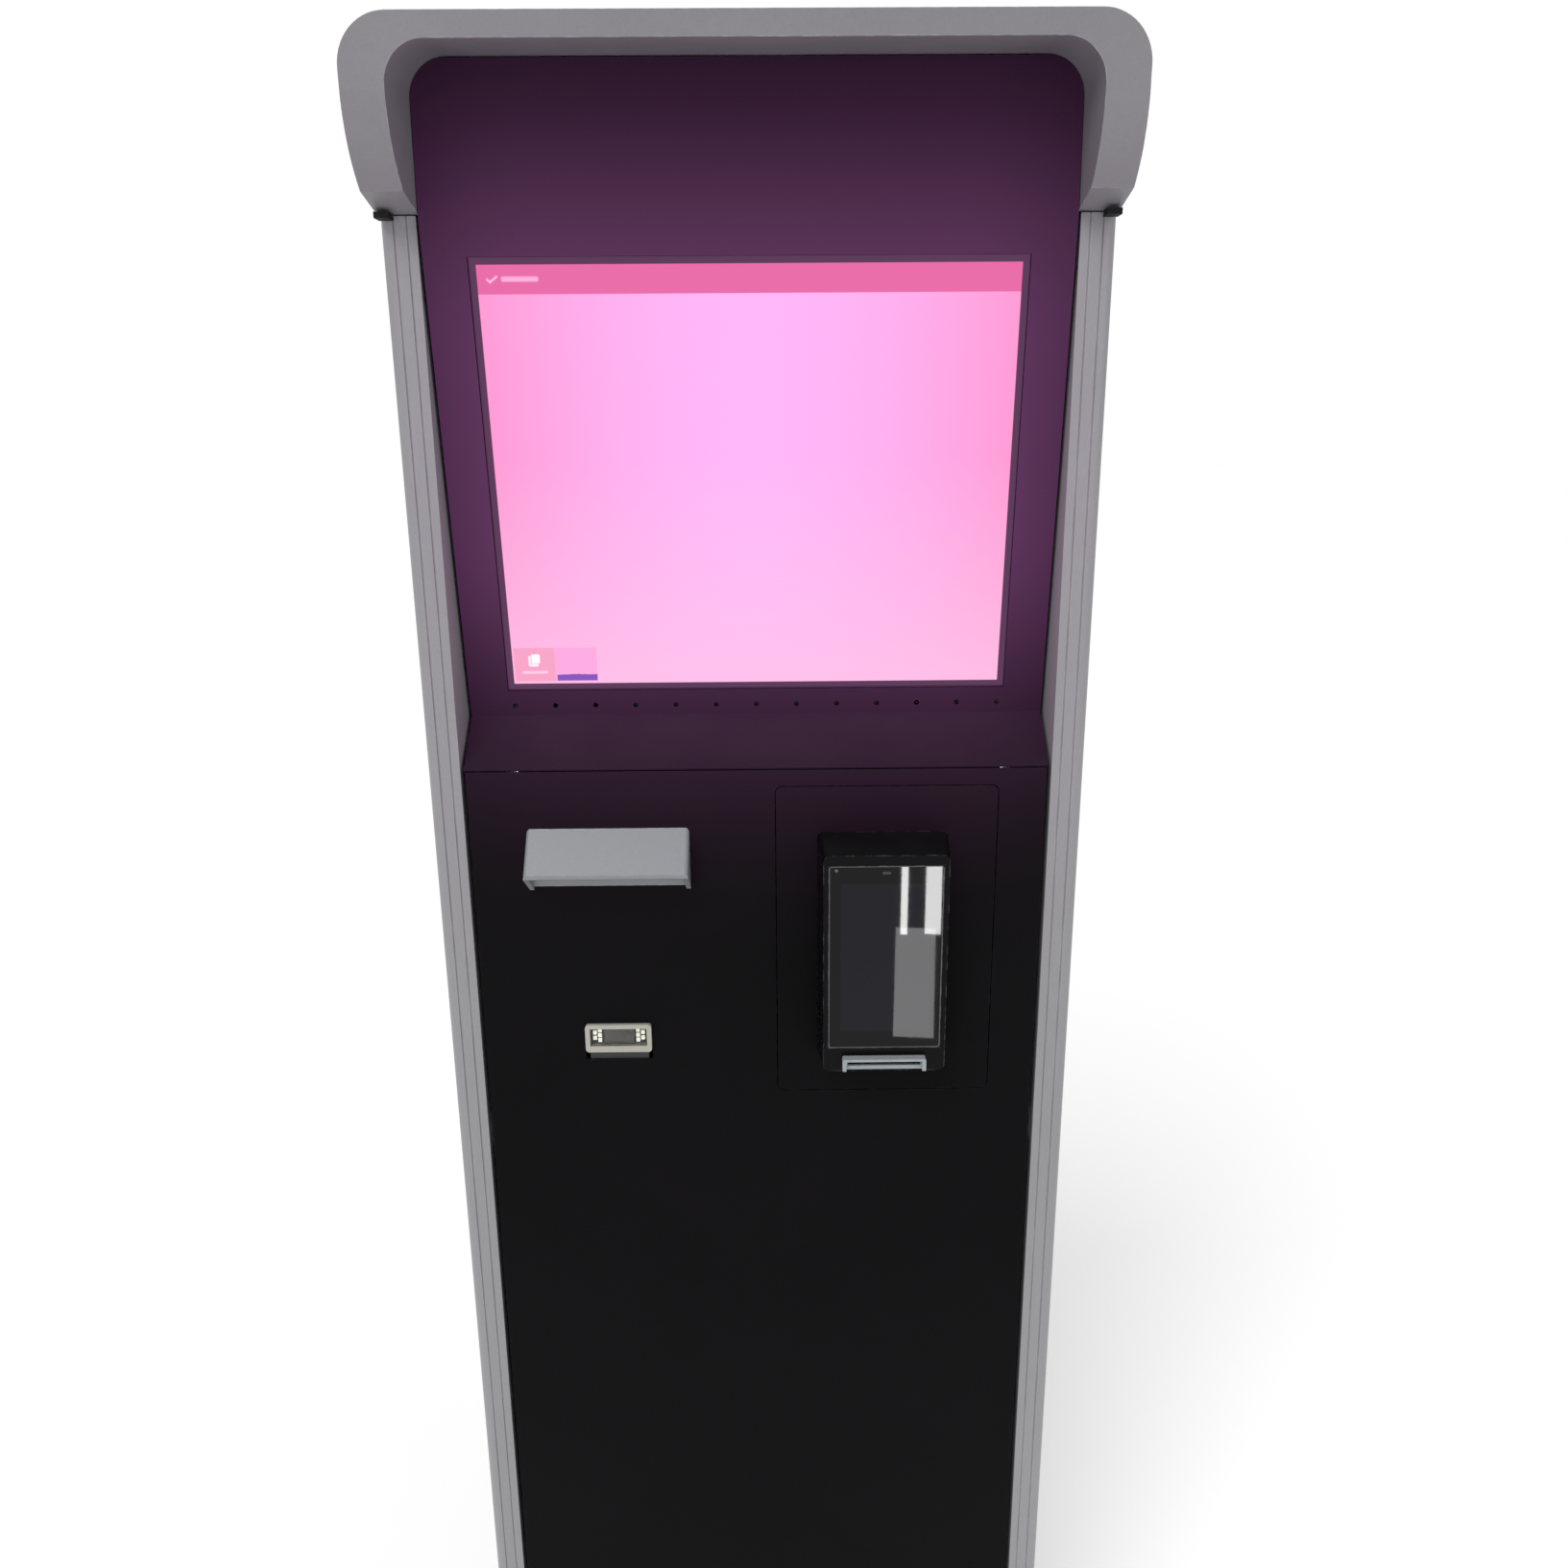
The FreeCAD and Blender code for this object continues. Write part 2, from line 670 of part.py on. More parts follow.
def monitor():
    glass = size.sheet + size.gasket_thick
    lcd = glass + size.glass_thick
    lcd_back = lcd + size.lcd_depth
    gasket = screen_frame(size.glass_margin - 1, size.screen_margin, (size.sheet, glass))
    publish(lean(gasket), "screen_gasket")
    publish(lean(group(screen_block(size.glass_margin, (glass, lcd)))), "touch_glass")
    publish(lean(group(screen_block(size.glass_margin - 2, (lcd, lcd_back)))), "lcd_panel")
    back = lcd_back + size.chassis_depth
    wall = size.chassis_wall
    shell = cut(
        screen_block(size.glass_margin, (lcd, back)),
        screen_block(size.glass_margin - wall, (lcd, back - wall)))
    publish(lean(shell), "monitor_chassis")


def speaker_box():
    """Speaker enclosure behind the row of holes, with two round drivers let into its face."""
    face = ledge_y + 3
    body = new_body()
    height = (size.sound_height - 32, size.sound_height + 3)
    pad(body, "XY", height, rectangle((-110, 110), (face, face + 32)))
    round_edges(body, 3, lambda edge, middle: along(edge, "z"))
    centre = size.sound_height - 15
    pocket(body, "XZ", (face, face + 6), circles(12, (-70, centre), (70, centre)))
    publish(body, "speaker_box")


# ---------------------------------------------------------------- payment terminal
terminal_face = front - size.terminal_reach


def terminal_plate():
    body = new_body()
    pad(body, "XZ", (front, front + size.sheet), rectangle(
        span(size.plate_centre, size.plate_width), span(size.plate_middle, size.plate_height)))
    round_edges(body, size.plate_round - size.plate_groove, lambda edge, middle: along(edge, "y"))
    height = size.terminal_top - size.terminal_bottom
    pocket(body, "XZ", (front, front + size.sheet), rectangle(
        span(terminal_x, size.terminal_body), span(size.terminal_bottom + height / 2, height - 30)))
    publish(body, "terminal_plate")


def terminal_housing():
    """Tapered shell; its narrower rear body passes through the mounting plate."""
    body = new_body()
    base = new_sketch(body, "XZ", front)
    rectangle(span(terminal_x, size.terminal_rear_width), (size.terminal_bottom, size.terminal_top))(base)
    face = new_sketch(body, "XZ", terminal_face)
    slope = size.terminal_slope
    rectangle(
        span(terminal_x, size.terminal_front_width),
        (size.terminal_bottom + slope, size.terminal_top - slope))(face)
    loft = body.newObject("PartDesign::AdditiveLoft", "Loft")
    loft.Profile = base
    loft.Sections = [face]
    doc.recompute()
    round_edges(body, 5, lambda edge, middle: (
        edge.Length > 35 and abs(edge.tangentAt(edge.FirstParameter).y) > 0.9))
    middle_z = size.terminal_bottom + (size.terminal_top - size.terminal_bottom) / 2
    depth = size.terminal_top - size.terminal_bottom - 30 - 2 * size.gap
    rear_body = rectangle(span(terminal_x, size.terminal_body - 2 * size.gap), span(middle_z, depth))
    pad(body, "XZ", (front, front + 30), rear_body)
    glass_z = size.terminal_glass_middle
    recess = terminal_face + size.terminal_glass_thick
    pocket(body, "XZ", (terminal_face, recess), rectangle(
        span(terminal_x, size.terminal_glass_width + 2 * size.gap),
        span(glass_z, size.terminal_glass_height + 2 * size.gap)))
    pocket(body, "XZ", (recess, recess + 4), rectangle(
        span(terminal_x, size.terminal_screen_width + 2), span(glass_z, size.terminal_screen_height + 2)))
    slot = rectangle(span(terminal_x, size.slot_width), span(size.slot_middle, size.slot_height))
    pocket(body, "XZ", (terminal_face, front - 4), slot)
    publish(body, "terminal_housing")


def terminal_front():
    glass_z = size.terminal_glass_middle
    recess = terminal_face + size.terminal_glass_thick
    glass = new_body()
    pad(glass, "XZ", (terminal_face, recess), rectangle(
        span(terminal_x, size.terminal_glass_width), span(glass_z, size.terminal_glass_height)))
    round_edges(glass, 2, lambda edge, middle: along(edge, "y"))
    publish(glass, "terminal_glass")
    publish(box(
        span(terminal_x, size.terminal_screen_width + 1), (recess, recess + 3),
        span(glass_z, size.terminal_screen_height + 1)), "terminal_display")


def card_slot_bezel():
    """Hooded slot: a top bar and two cheeks round a recessed mouth."""
    body = new_body()
    top = size.slot_middle + size.slot_height / 2 + size.slot_bar
    low = top - size.slot_bezel_height
    reach = (terminal_face - size.slot_reach, terminal_face)
    pad(body, "XZ", reach, rectangle(
        span(terminal_x, size.slot_bezel_width), (low, top)))
    round_edges(body, 1.5, lambda edge, middle: along(edge, "y") and middle.z > number(top) - 0.1)
    between = size.slot_bezel_width - 2 * size.slot_cheek
    mouth = rectangle(span(terminal_x, between), (low - 1, top - size.slot_bar))
    pocket(body, "XZ", (reach[0], reach[1] - 3), mouth)
    slot = rectangle(span(terminal_x, size.slot_width), span(size.slot_middle, size.slot_height))
    pocket(body, "XZ", reach, slot)
    publish(body, "card_slot_bezel")


# ---------------------------------------------------------------- receipt printer
paper_z = size.platen_z - size.platen_radius
outlet_z = paper_z + 1
gear_distance = size.gear_module * (size.gear_teeth + size.motor_gear_teeth) / 2
motor_axis = (
    size.platen_y + gear_distance * size.gear_line.turned("cos"),
    size.platen_z - gear_distance * size.gear_line.turned("sin"),
)


def receipt_bezel():
    """Sloped cover whose lip hangs over the paper outlet, with a cheek at each end."""
    body = new_body()
    lip_y = front - size.receipt_reach
    lip_z = size.receipt_lip
    pad(body, "YZ", span(receipt_x, size.receipt_width), polygon([
        (front, size.receipt_bottom), (front, size.receipt_top),
        (lip_y, lip_z + size.receipt_wall), (lip_y, lip_z),
    ]))
    round_edges(body, 3, lambda edge, middle: (
        not along(edge, "x") and middle.z > number(lip_z) + 5 and middle.y < number(front) - 5))
    between = size.receipt_width - 2 * size.receipt_cheek
    pocket(body, "YZ", span(receipt_x, between), polygon([
        (lip_y, size.receipt_bottom - 1), (front, size.receipt_bottom - 1),
        (front, size.receipt_bottom + 3), (front - 7, lip_z - 1), (lip_y, lip_z - 1),
    ]))
    pocket(body, "YZ", span(receipt_x, between), polygon([
        (front, size.receipt_top - 5), (front, lip_z + 2),
        (lip_y + 8, lip_z + 2), (lip_y + 8, lip_z + 6),
    ]))
    pocket(body, "XZ", (front - 12, front), rectangle(
        span(receipt_x, size.outlet_width), span(outlet_z, size.outlet_height)))
    publish(body, "receipt_bezel")


def printer_tray():
    """Shelf that hangs on the front panel and carries the printer and the roll's uprights."""
    body = new_body()
    low = size.tray_height
    top = low + 3
    back = front + size.sheet
    half = size.printer_half + 5
    pad(body, "XY", (low, top), rectangle((receipt_x - half, receipt_x + half + 30), (back, 62)))
    pad(body, "XZ", (back, back + 2), rectangle((receipt_x - half, receipt_x + half), (low - 35, low)))
    for side, _ in SIDES:
        inner = size.roll_width / 2 + 2
        x = mirrored(side, inner, inner + 3)
        pad(body, "YZ", (receipt_x + x[0], receipt_x + x[1]), rectangle(
            span(size.roll_y, 20), (top, size.roll_z + 6)))
    cradle = size.spindle_radius
    pocket(body, "YZ", (receipt_x - half, receipt_x + half), rectangle(
        span(size.roll_y, 2 * cradle), (size.roll_z, size.roll_z + 7)))
    pocket(body, "YZ", (receipt_x - half, receipt_x + half), circles(cradle, (size.roll_y, size.roll_z)))
    tab = (receipt_x + half + 2, receipt_x + half + 28)
    pad(body, "XZ", (56, 62), rectangle(tab, (top, top + 30)))
    pocket(body, "XZ", (56, 62), circles(4.3, (receipt_x + half + 15, top + 16)))
    publish(body, "printer_tray")


def feed_button():
    half = size.printer_half + 5
    middle = (receipt_x + half + 15, 55, size.tray_height + 19)
    publish(group(rod("y", 4, middle, 9.5)), "feed_button")


def printer_frame():
    body = new_body()
    low = size.tray_height + 3
    half = size.printer_half
    y = (front + 10, size.lid_hinge_y + 6)
    pad(body, "XY", (low, low + 3), rectangle((receipt_x - half, receipt_x + half), y))
    shaft_low = size.platen_z - size.platen_shaft / 2 - 0.5
    for side, _ in SIDES:
        x = mirrored(side, half - 3, half)
        pad(body, "YZ", (receipt_x + x[0], receipt_x + x[1]), polygon([
            (y[0], low + 3), (y[1], low + 3), (y[1], size.lid_hinge_z + 6),
            (y[1] - 12, size.lid_hinge_z + 6), (y[1] - 12, shaft_low), (y[0], shaft_low),
        ]))
    through = (receipt_x - half, receipt_x + half)
    pin = size.pin_radius + size.fit
    pocket(body, "YZ", through, circles(pin, (size.lid_hinge_y, size.lid_hinge_z)))
    pocket(body, "YZ", through, circles(pin, motor_axis))
    publish(body, "printer_frame")




def print_head():
    half = size.platen_length / 2
    y = (size.platen_y - 8, size.platen_y + 4)
    low = size.tray_height + 6
    publish(box((receipt_x - half, receipt_x + half), y, (low, paper_z - size.gap)), "print_head")


def drive_motor():
    start = (receipt_x + 18, motor_axis[0], motor_axis[1])
    length = size.printer_half - 3 - 18
    body = rod("x", 7.5, start, length)
    bore = rod("x", size.pin_radius + size.fit, start, length)
    publish(cut(body, bore), "drive_motor")


def toothed_wheel(teeth, start, width):
    """A spur gear: a disc to the root circle, with evenly spaced teeth, the first one upright."""
    pitch_radius = size.gear_module * teeth / 2
    tip = pitch_radius + size.tooth_rise
    pieces = [rod("x", pitch_radius - size.tooth_fall, start, width)]
    half = size.tooth_width / 2
    for index in range(int(number(teeth))):
        turn = FreeCAD.Rotation(FreeCAD.Vector(1, 0, 0), 360 * index / number(teeth))
        across = turn.multVec(FreeCAD.Vector(0, 1, 0))
        tooth = doc.addObject("Part::Box", "Tooth")
        bind(tooth, "Length", width)
        bind(tooth, "Width", size.tooth_width)
        bind(tooth, "Height", tip)
        tooth.Placement = FreeCAD.Placement(FreeCAD.Vector(0, 0, 0), turn)
        bind(tooth, "Placement.Base.x", start[0])
        bind(tooth, "Placement.Base.y", start[1] - half * across.y)
        bind(tooth, "Placement.Base.z", start[2] - half * across.z)
        pieces.append(tooth)
    return fuse(*pieces)


def gears():
    gear_x = receipt_x + size.printer_half + 2
    platen = (size.platen_y, size.platen_z)
    wheel = toothed_wheel(size.gear_teeth, (gear_x, *platen), 4)
    shaft_start = receipt_x - size.printer_half - 2
    shaft = rod("x", size.platen_shaft / 2, (shaft_start, *platen), 2 * size.printer_half + 8)
    publish(fuse(wheel, shaft), "platen_shaft")
    half = size.platen_length / 2
    rubber = rod("x", size.platen_radius, (receipt_x - half, *platen), size.platen_length)
    bore = rod("x", size.platen_shaft / 2, (receipt_x - half, *platen), size.platen_length)
    publish(cut(rubber, bore), "platen_roller")
    pinion = toothed_wheel(size.motor_gear_teeth, (gear_x, *motor_axis), 4)
    stub = rod("x", size.pin_radius, (receipt_x + 25, *motor_axis), size.printer_half - 19)
    publish(fuse(pinion, stub), "motor_gear")


def printer_lid():
    """Lid that lifts the platen off the print head; it turns on two short pins."""
    body = new_body()
    half = size.printer_half - 4
    plate_z = size.platen_z + 14
    y = (front + 10, size.lid_hinge_y + 6)
    pad(body, "XY", (plate_z, plate_z + 3), rectangle((receipt_x - half, receipt_x + half), y))
    for side, _ in SIDES:
        x = mirrored(side, half - 3, half)
        arm = (receipt_x + x[0], receipt_x + x[1])
        for middle_y in (size.platen_y, size.lid_hinge_y):
            pad(body, "YZ", arm, rectangle(span(middle_y, 10), (size.platen_z - 5, plate_z)))
        pin = mirrored(side, half, size.printer_half)
        pad(body, "YZ", (receipt_x + pin[0], receipt_x + pin[1]), circles(
            size.pin_radius, (size.lid_hinge_y, size.lid_hinge_z)))
    bearing = circles(size.platen_shaft / 2 + size.fit, (size.platen_y, size.platen_z))
    pocket(body, "YZ", (receipt_x - half, receipt_x + half), bearing)
    publish(body, "printer_lid")


def cutter_blade():
    half = size.platen_length / 2 + 1
    y = (front + 5, front + 6)
    publish(box((receipt_x - half, receipt_x + half), y, (paper_z + 4, paper_z + 18)), "cutter_blade")


def paper_roll():
    half = size.roll_width / 2
    start = (receipt_x - half, size.roll_y, size.roll_z)
    paper = cut(rod("x", size.roll_radius, start, size.roll_width), rod("x", size.roll_core, start, size.roll_width))
    publish(paper, "paper_roll")
    bore = size.spindle_radius + size.fit
    core = cut(rod("x", size.roll_core, start, size.roll_width), rod("x", bore, start, size.roll_width))
    publish(core, "roll_core")
    reach = half + 5
    axle = rod("x", size.spindle_radius, (receipt_x - reach, size.roll_y, size.roll_z), 2 * reach)
    publish(group(axle), "roll_spindle")


# ---------------------------------------------------------------- barcode scanner
def scanner():
    z = size.scanner_middle
    face = front - 3
    joint = front + 10
    window_z = span(z + 0.8, size.window_height)
    bezel = new_body()
    pad(bezel, "XZ", (face, joint), rectangle(
        span(scanner_x, size.scanner_width), span(z, size.scanner_height)))
    round_edges(bezel, 3, lambda edge, middle: along(edge, "y"))
    pocket(bezel, "XZ", (face, joint), rectangle(span(scanner_x, size.window_width), window_z))
    publish(bezel, "scanner_bezel")
    publish(box(span(scanner_x, size.window_width), (face + 2, face + 3.2), window_z), "scanner_window")
    board = front + 3
    housing = box(
        span(scanner_x, size.scanner_width - 1), (joint, joint + size.scanner_depth),
        span(z, size.scanner_height - 1))
    nose = box(span(scanner_x, size.window_width - 1), (board, joint), span(z + 0.8, size.window_height - 1))
    publish(fuse(housing, nose), "scanner_body")
    lights = []
    for side, _ in SIDES:
        for column, rows in ((15.5, (-4.4, 0, 4.4)), (19.5, (-2.4, 2.4))):
            for row in rows:
                lights.append(box(
                    span(scanner_x + side * column, 3), (board - 1.5, board), span(z + 1 + row, 3)))
    publish(group(*lights), "scanner_leds")


def scanner_bracket():
    x = span(scanner_x, size.scanner_width - 6)
    back = front + size.sheet
    flange = box(x, (back, back + 2), (scanner_foot - 24, scanner_foot))
    shelf = box(x, (back + 2, back + size.scanner_depth), (scanner_foot - 2, scanner_foot))
    publish(fuse(flange, shelf), "scanner_bracket")


# ---------------------------------------------------------------- equipment
def equipment_shelf():
    body = new_body()
    top = size.shelf_height
    pad(body, "XZ", (-60, 70), polygon([
        (-inner_half, top - 22), (-inner_half + 2, top - 22), (-inner_half + 2, top - 2),
        (inner_half - 2, top - 2), (inner_half - 2, top - 22), (inner_half, top - 22),
        (inner_half, top), (-inner_half, top),
    ]))
    publish(body, "equipment_shelf")


def equipment():
    top = size.shelf_height
    case = box((-200, -20), (-50, 60), (top, top + 48))
    bore = rod("y", 5.3, (-44, 48, top + 24), 12)
    publish(cut(case, bore), "pc_case")
    publish(group(rod("y", 5, (-44, 52, top + 24), 9.5)), "pc_button")
    publish(box((40, 200), (-50, 50), (top, top + 42)), "power_supply")


# ---------------------------------------------------------------- rear of the cabinet
rear_skin = (rear - size.sheet, rear)


def rear_upper_panel():
    body = new_body()
    across = (-size.panel_half, size.panel_half)
    pad(body, "XZ", rear_skin, rectangle(across, (size.door_top + 3, size.panel_top)))
    round_edges(body, size.panel_corner, lambda edge, middle: (
        along(edge, "y") and middle.z > number(size.panel_top) - 1))
    low = size.fan_z - 28
    slit = pocket(body, "XZ", rear_skin, rectangle((-32, 32), (low, low + 4)))
    repeat(body, slit, "Z", 8, 8)
    publish(body, "rear_upper_panel")


inlet_x = -150
inlet_z = 120
rocker_x = inlet_x + 17
socket_x = inlet_x - 10


def rear_lower_panel():
    body = new_body()
    pad(body, "XZ", rear_skin, rectangle(
        (-size.door_half, size.door_half), (size.lower_foot, size.door_bottom - 3)))
    pocket(body, "XZ", rear_skin, rectangle(span(inlet_x, 52), span(inlet_z, 28)))
    publish(body, "rear_lower_panel")


def rear_panel_screws():
    """Domed screw heads: six on the upper panel and four on the lower one."""
    heads = []
    for x in (-200, 0, 200):
        for z in (size.door_top + 21, 1515):
            heads.append((x, z))
    for x in (-200, 200):
        for z in (40, 75):
            heads.append((x, z))
    screws = []
    for x, z in heads:
        screws.append(rod("y", 4, (x, rear, z), 2))
    publish(group(*screws), "rear_panel_screws")


def mains_inlet():
    """Inlet socket with three blades and a rocker switch beside it."""
    body = new_body()
    inside = rear - 30
    flange = rear + 2
    pad(body, "XZ", (inside, rear), rectangle(span(inlet_x, 51), span(inlet_z, 27)))
    pad(body, "XZ", (rear, flange), rectangle(span(inlet_x, 60), span(inlet_z, 36)))
    round_edges(body, 3, lambda edge, middle: along(edge, "y") and middle.y > number(rear))
    pocket(body, "XZ", (flange - 18, flange), rectangle(span(socket_x, 24.5), span(inlet_z, 17.5)))
    pocket(body, "XZ", (rear - 10, flange), rectangle(span(rocker_x, 13.2), span(inlet_z, 19.8)))
    for x, z in ((-7, -2), (7, -2), (0, 2)):
        blade = rectangle(span(socket_x + x, 2), span(inlet_z + z, 4))
        pad(body, "XZ", (flange - 18, flange - 4), blade)
    publish(body, "power_inlet")
    rocker = new_body()
    pad(rocker, "YZ", span(rocker_x, 12.4), polygon([
        (rear - 4, inlet_z - 9), (rear + 5, inlet_z - 9), (rear + 3.4, inlet_z),
        (rear + 5, inlet_z + 9), (rear - 4, inlet_z + 9),
    ]))
    publish(rocker, "power_rocker")


def fan():
    """Frame with four struts to a hub, and a rotor with seven blades."""
    half = size.fan_size / 2
    inside = rear - size.sheet - size.fan_depth
    outside = rear - size.sheet
    frame = new_body()
    pad(frame, "XZ", (inside, outside), rectangle((-half, half), span(size.fan_z, size.fan_size)))
    round_edges(frame, 4, lambda edge, middle: along(edge, "y"))
    pocket(frame, "XZ", (inside, outside), circles(size.fan_bore / 2, (0, size.fan_z)))
    back = (outside - 4, outside)
    reach = size.fan_bore / 2 + 1
    pad(frame, "XZ", back, rectangle((-reach, reach), span(size.fan_z, 4)))
    pad(frame, "XZ", back, rectangle((-2, 2), span(size.fan_z, 2 * reach)))
    pad(frame, "XZ", back, circles(14, (0, size.fan_z)))
    pocket(frame, "XZ", back, circles(size.pin_radius + size.fit, (0, size.fan_z)))
    publish(frame, "fan_frame")
    low = inside + 3
    high = outside - 4.5
    pieces = [rod("y", 14, (0, low, size.fan_z), high - low)]
    pieces.append(rod("y", size.pin_radius, (0, low, size.fan_z), outside - low - 0.5))
    blades = 7
    length = size.fan_bore / 2 - 1.5
    for index in range(blades):
        around = FreeCAD.Rotation(FreeCAD.Vector(0, 1, 0), 360 * index / blades)
        pitch = FreeCAD.Rotation(FreeCAD.Vector(1, 0, 0), 40)
        blade = doc.addObject("Part::Box", "Blade")
        bind(blade, "Length", length)
        bind(blade, "Width", 1.6)
        bind(blade, "Height", 18)
        corner = around.multVec(pitch.multVec(FreeCAD.Vector(0, -0.8, -9)))
        blade.Placement = FreeCAD.Placement(FreeCAD.Vector(0, 0, 0), around.multiply(pitch))
        bind(blade, "Placement.Base.x", corner.x)
        bind(blade, "Placement.Base.y", low + (high - low) / 2 + corner.y)
        bind(blade, "Placement.Base.z", size.fan_z + corner.z)
        sweep = rod("y", length, (0, low, size.fan_z), high - low)
        trimmed = doc.addObject("Part::MultiCommon", "Trimmed")
        trimmed.Shapes = [blade, sweep]
        pieces.append(trimmed)
    publish(fuse(*pieces), "fan_rotor")


# ---------------------------------------------------------------- service door
hinge_y = rear + size.hinge_out
hinge_feet = (size.door_bottom + 80, size.door_top - 130)


def service_door():
    body = new_body()
    lip = rear - size.sheet - 12
    height = (size.door_bottom, size.door_top)
    pad(body, "XY", height, channel(size.door_half, rear, rear - size.sheet, lip, size.sheet))
    pocket(body, "XZ", rear_skin, circles(size.lock_radius + size.fit, (size.lock_x, size.lock_z)))
    slit = pocket(body, "XZ", rear_skin, rectangle((-60, 60), (300, 305)))
    repeat(body, slit, "Z", 14, 9)
    publish(body, "service_door")


def hinges():
    """Two butt hinges: the frame leaf has the outer knuckles, the door leaf the middle one."""
    thick = 1.5
    knuckle = size.knuckle
    frame_leaves = []
    door_leaves = []
    pins = []
    for foot in hinge_feet:
        leaf_z = (foot, foot + 3 * knuckle)
        bore = rod("z", size.pin_radius + size.fit, (size.hinge_x, hinge_y, foot), 3 * knuckle)
        steel = [box((size.hinge_x + 3.5, size.hinge_x + 24), (rear, rear + thick), leaf_z)]
        for start in (foot, foot + 2 * knuckle):
            steel.append(rod("z", size.barrel_radius, (size.hinge_x, hinge_y, start), knuckle))
            reach = (size.hinge_x, size.hinge_x + 3.5)
            steel.append(box(reach, (rear + 0.5, rear + thick), (start, start + knuckle)))
        frame_leaves.append(cut(fuse(*steel), bore))
        low = foot + knuckle + size.gap
        length = knuckle - 2 * size.gap
        steel = [
            box((size.hinge_x - 24, size.hinge_x - 3.5), (rear, rear + thick), leaf_z),
            rod("z", size.barrel_radius, (size.hinge_x, hinge_y, low), length),
            box((size.hinge_x - 3.5, size.hinge_x), (rear + 0.5, rear + thick), (low, low + length)),
        ]
        door_leaves.append(cut(fuse(*steel), bore))
        pins.append(rod("z", size.pin_radius, (size.hinge_x, hinge_y, foot), 3 * knuckle))
    publish(group(*frame_leaves), "frame_hinge_leaves")
    publish(group(*door_leaves), "door_hinge_leaves")
    publish(group(*pins), "hinge_pins")


def door_lock():
    """Cam lock; the cam hangs down when open and turns towards the post to lock."""
    x, z = size.lock_x, size.lock_z
    inside = rear - 22
    barrel = size.lock_radius - 3
    outer = fuse(
        rod("y", size.lock_radius, (x, inside, z), 22),
        rod("y", size.lock_radius + 2, (x, rear, z), 2.5))
    publish(cut(outer, rod("y", barrel + size.fit, (x, inside, z), 24.5)), "lock_housing")
    plug = rod("y", barrel, (x, inside - 2, z), 26)
    keyway = box(span(x, 1.6), (rear - 8, rear + 3), span(z, 7))
    publish(cut(plug, keyway), "lock_barrel")
    publish(box(span(x, 12), (inside - 5, inside - 2), (z - 25, z + 6)), "lock_cam")


base_plate()
foot_brackets()
for side, name in SIDES:
    publish(post(side, (front, front + size.post_depth), True), f"{name}_front_post")
    rear_post = post(side, (rear - size.rear_post_depth, rear), False)
    if side < 0:
        rear_post = group(rear_post, *lock_strike())
    publish(rear_post, f"{name}_rear_post")
    side_panel(f"{name}_side_panel", side)
cross_rails()
hood()
hood_seals()
display_panel()
lower_front_panel()
monitor()
speaker_box()
terminal_plate()
terminal_housing()
terminal_front()
card_slot_bezel()
receipt_bezel()
printer_tray()
feed_button()
printer_frame()
print_head()
drive_motor()
gears()
printer_lid()
cutter_blade()
paper_roll()
scanner()
scanner_bracket()
equipment_shelf()
equipment()
rear_upper_panel()
rear_lower_panel()
rear_panel_screws()
mains_inlet()
fan()
service_door()
hinges()
door_lock()

# ---------------------------------------------------------------- check and write
doc.recompute()
for item in doc.Objects:
    if "Invalid" in item.State or "Error" in item.State:
        raise RuntimeError(f"{item.Label} did not compute: {item.State}")
for item in sub_parts:
    if item.Shape.isNull() or not item.Shape.isValid() or not item.Shape.Solids:
        raise RuntimeError(f"{item.Label} is not a valid solid")
    item.Shape.exportStep(f"parts/{item.Label}.step")
print(len(sub_parts), "sub-parts written")
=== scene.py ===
import json
import math

import bpy
import numpy as np
from mathutils import Matrix, Vector


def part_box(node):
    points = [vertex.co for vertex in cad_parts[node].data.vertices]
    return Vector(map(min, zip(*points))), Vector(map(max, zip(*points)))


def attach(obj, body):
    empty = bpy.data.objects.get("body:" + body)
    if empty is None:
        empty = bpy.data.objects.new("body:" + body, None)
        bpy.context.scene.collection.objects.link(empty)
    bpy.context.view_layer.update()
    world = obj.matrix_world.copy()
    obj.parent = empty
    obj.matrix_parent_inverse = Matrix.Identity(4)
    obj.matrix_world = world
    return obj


# Self checkout kiosk: finishes for every CAD node, and the small pieces the CAD leaves to the looks.
# Metres throughout; +Z is up and the customer stands on the -Y side.

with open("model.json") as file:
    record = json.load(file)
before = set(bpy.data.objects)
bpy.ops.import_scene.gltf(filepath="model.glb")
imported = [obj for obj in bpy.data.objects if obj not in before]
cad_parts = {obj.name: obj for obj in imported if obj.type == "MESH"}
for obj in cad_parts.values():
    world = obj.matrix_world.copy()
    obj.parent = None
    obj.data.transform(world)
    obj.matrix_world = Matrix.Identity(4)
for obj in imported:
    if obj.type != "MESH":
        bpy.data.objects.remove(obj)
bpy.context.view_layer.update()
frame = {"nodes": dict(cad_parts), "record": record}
nodes = frame["nodes"]
slotOf = {row["node"]: row["material_slot"] for row in frame["record"]["subparts"]}
mm = 0.001
print("frame loaded:", len(nodes), "nodes")


# node helpers
def put(tree, kind, values=None, **settings):
    node = tree.nodes.new(kind)
    for key, value in settings.items():
        setattr(node, key, value)
    for key, value in (values or {}).items():
        if isinstance(value, bpy.types.NodeSocket):
            tree.links.new(value, node.inputs[key])
        else:
            node.inputs[key].default_value = value
    return node


def calc(tree, operation, first, second=0.0, third=None, clamp=False):
    values = {0: first, 1: second}
    if third is not None:
        values[2] = third
    return put(tree, "ShaderNodeMath", values, operation=operation, use_clamp=clamp).outputs[0]


def rescale(tree, value, low, high):
    return put(tree, "ShaderNodeMapRange", {"Value": value, "To Min": low, "To Max": high}).outputs[0]


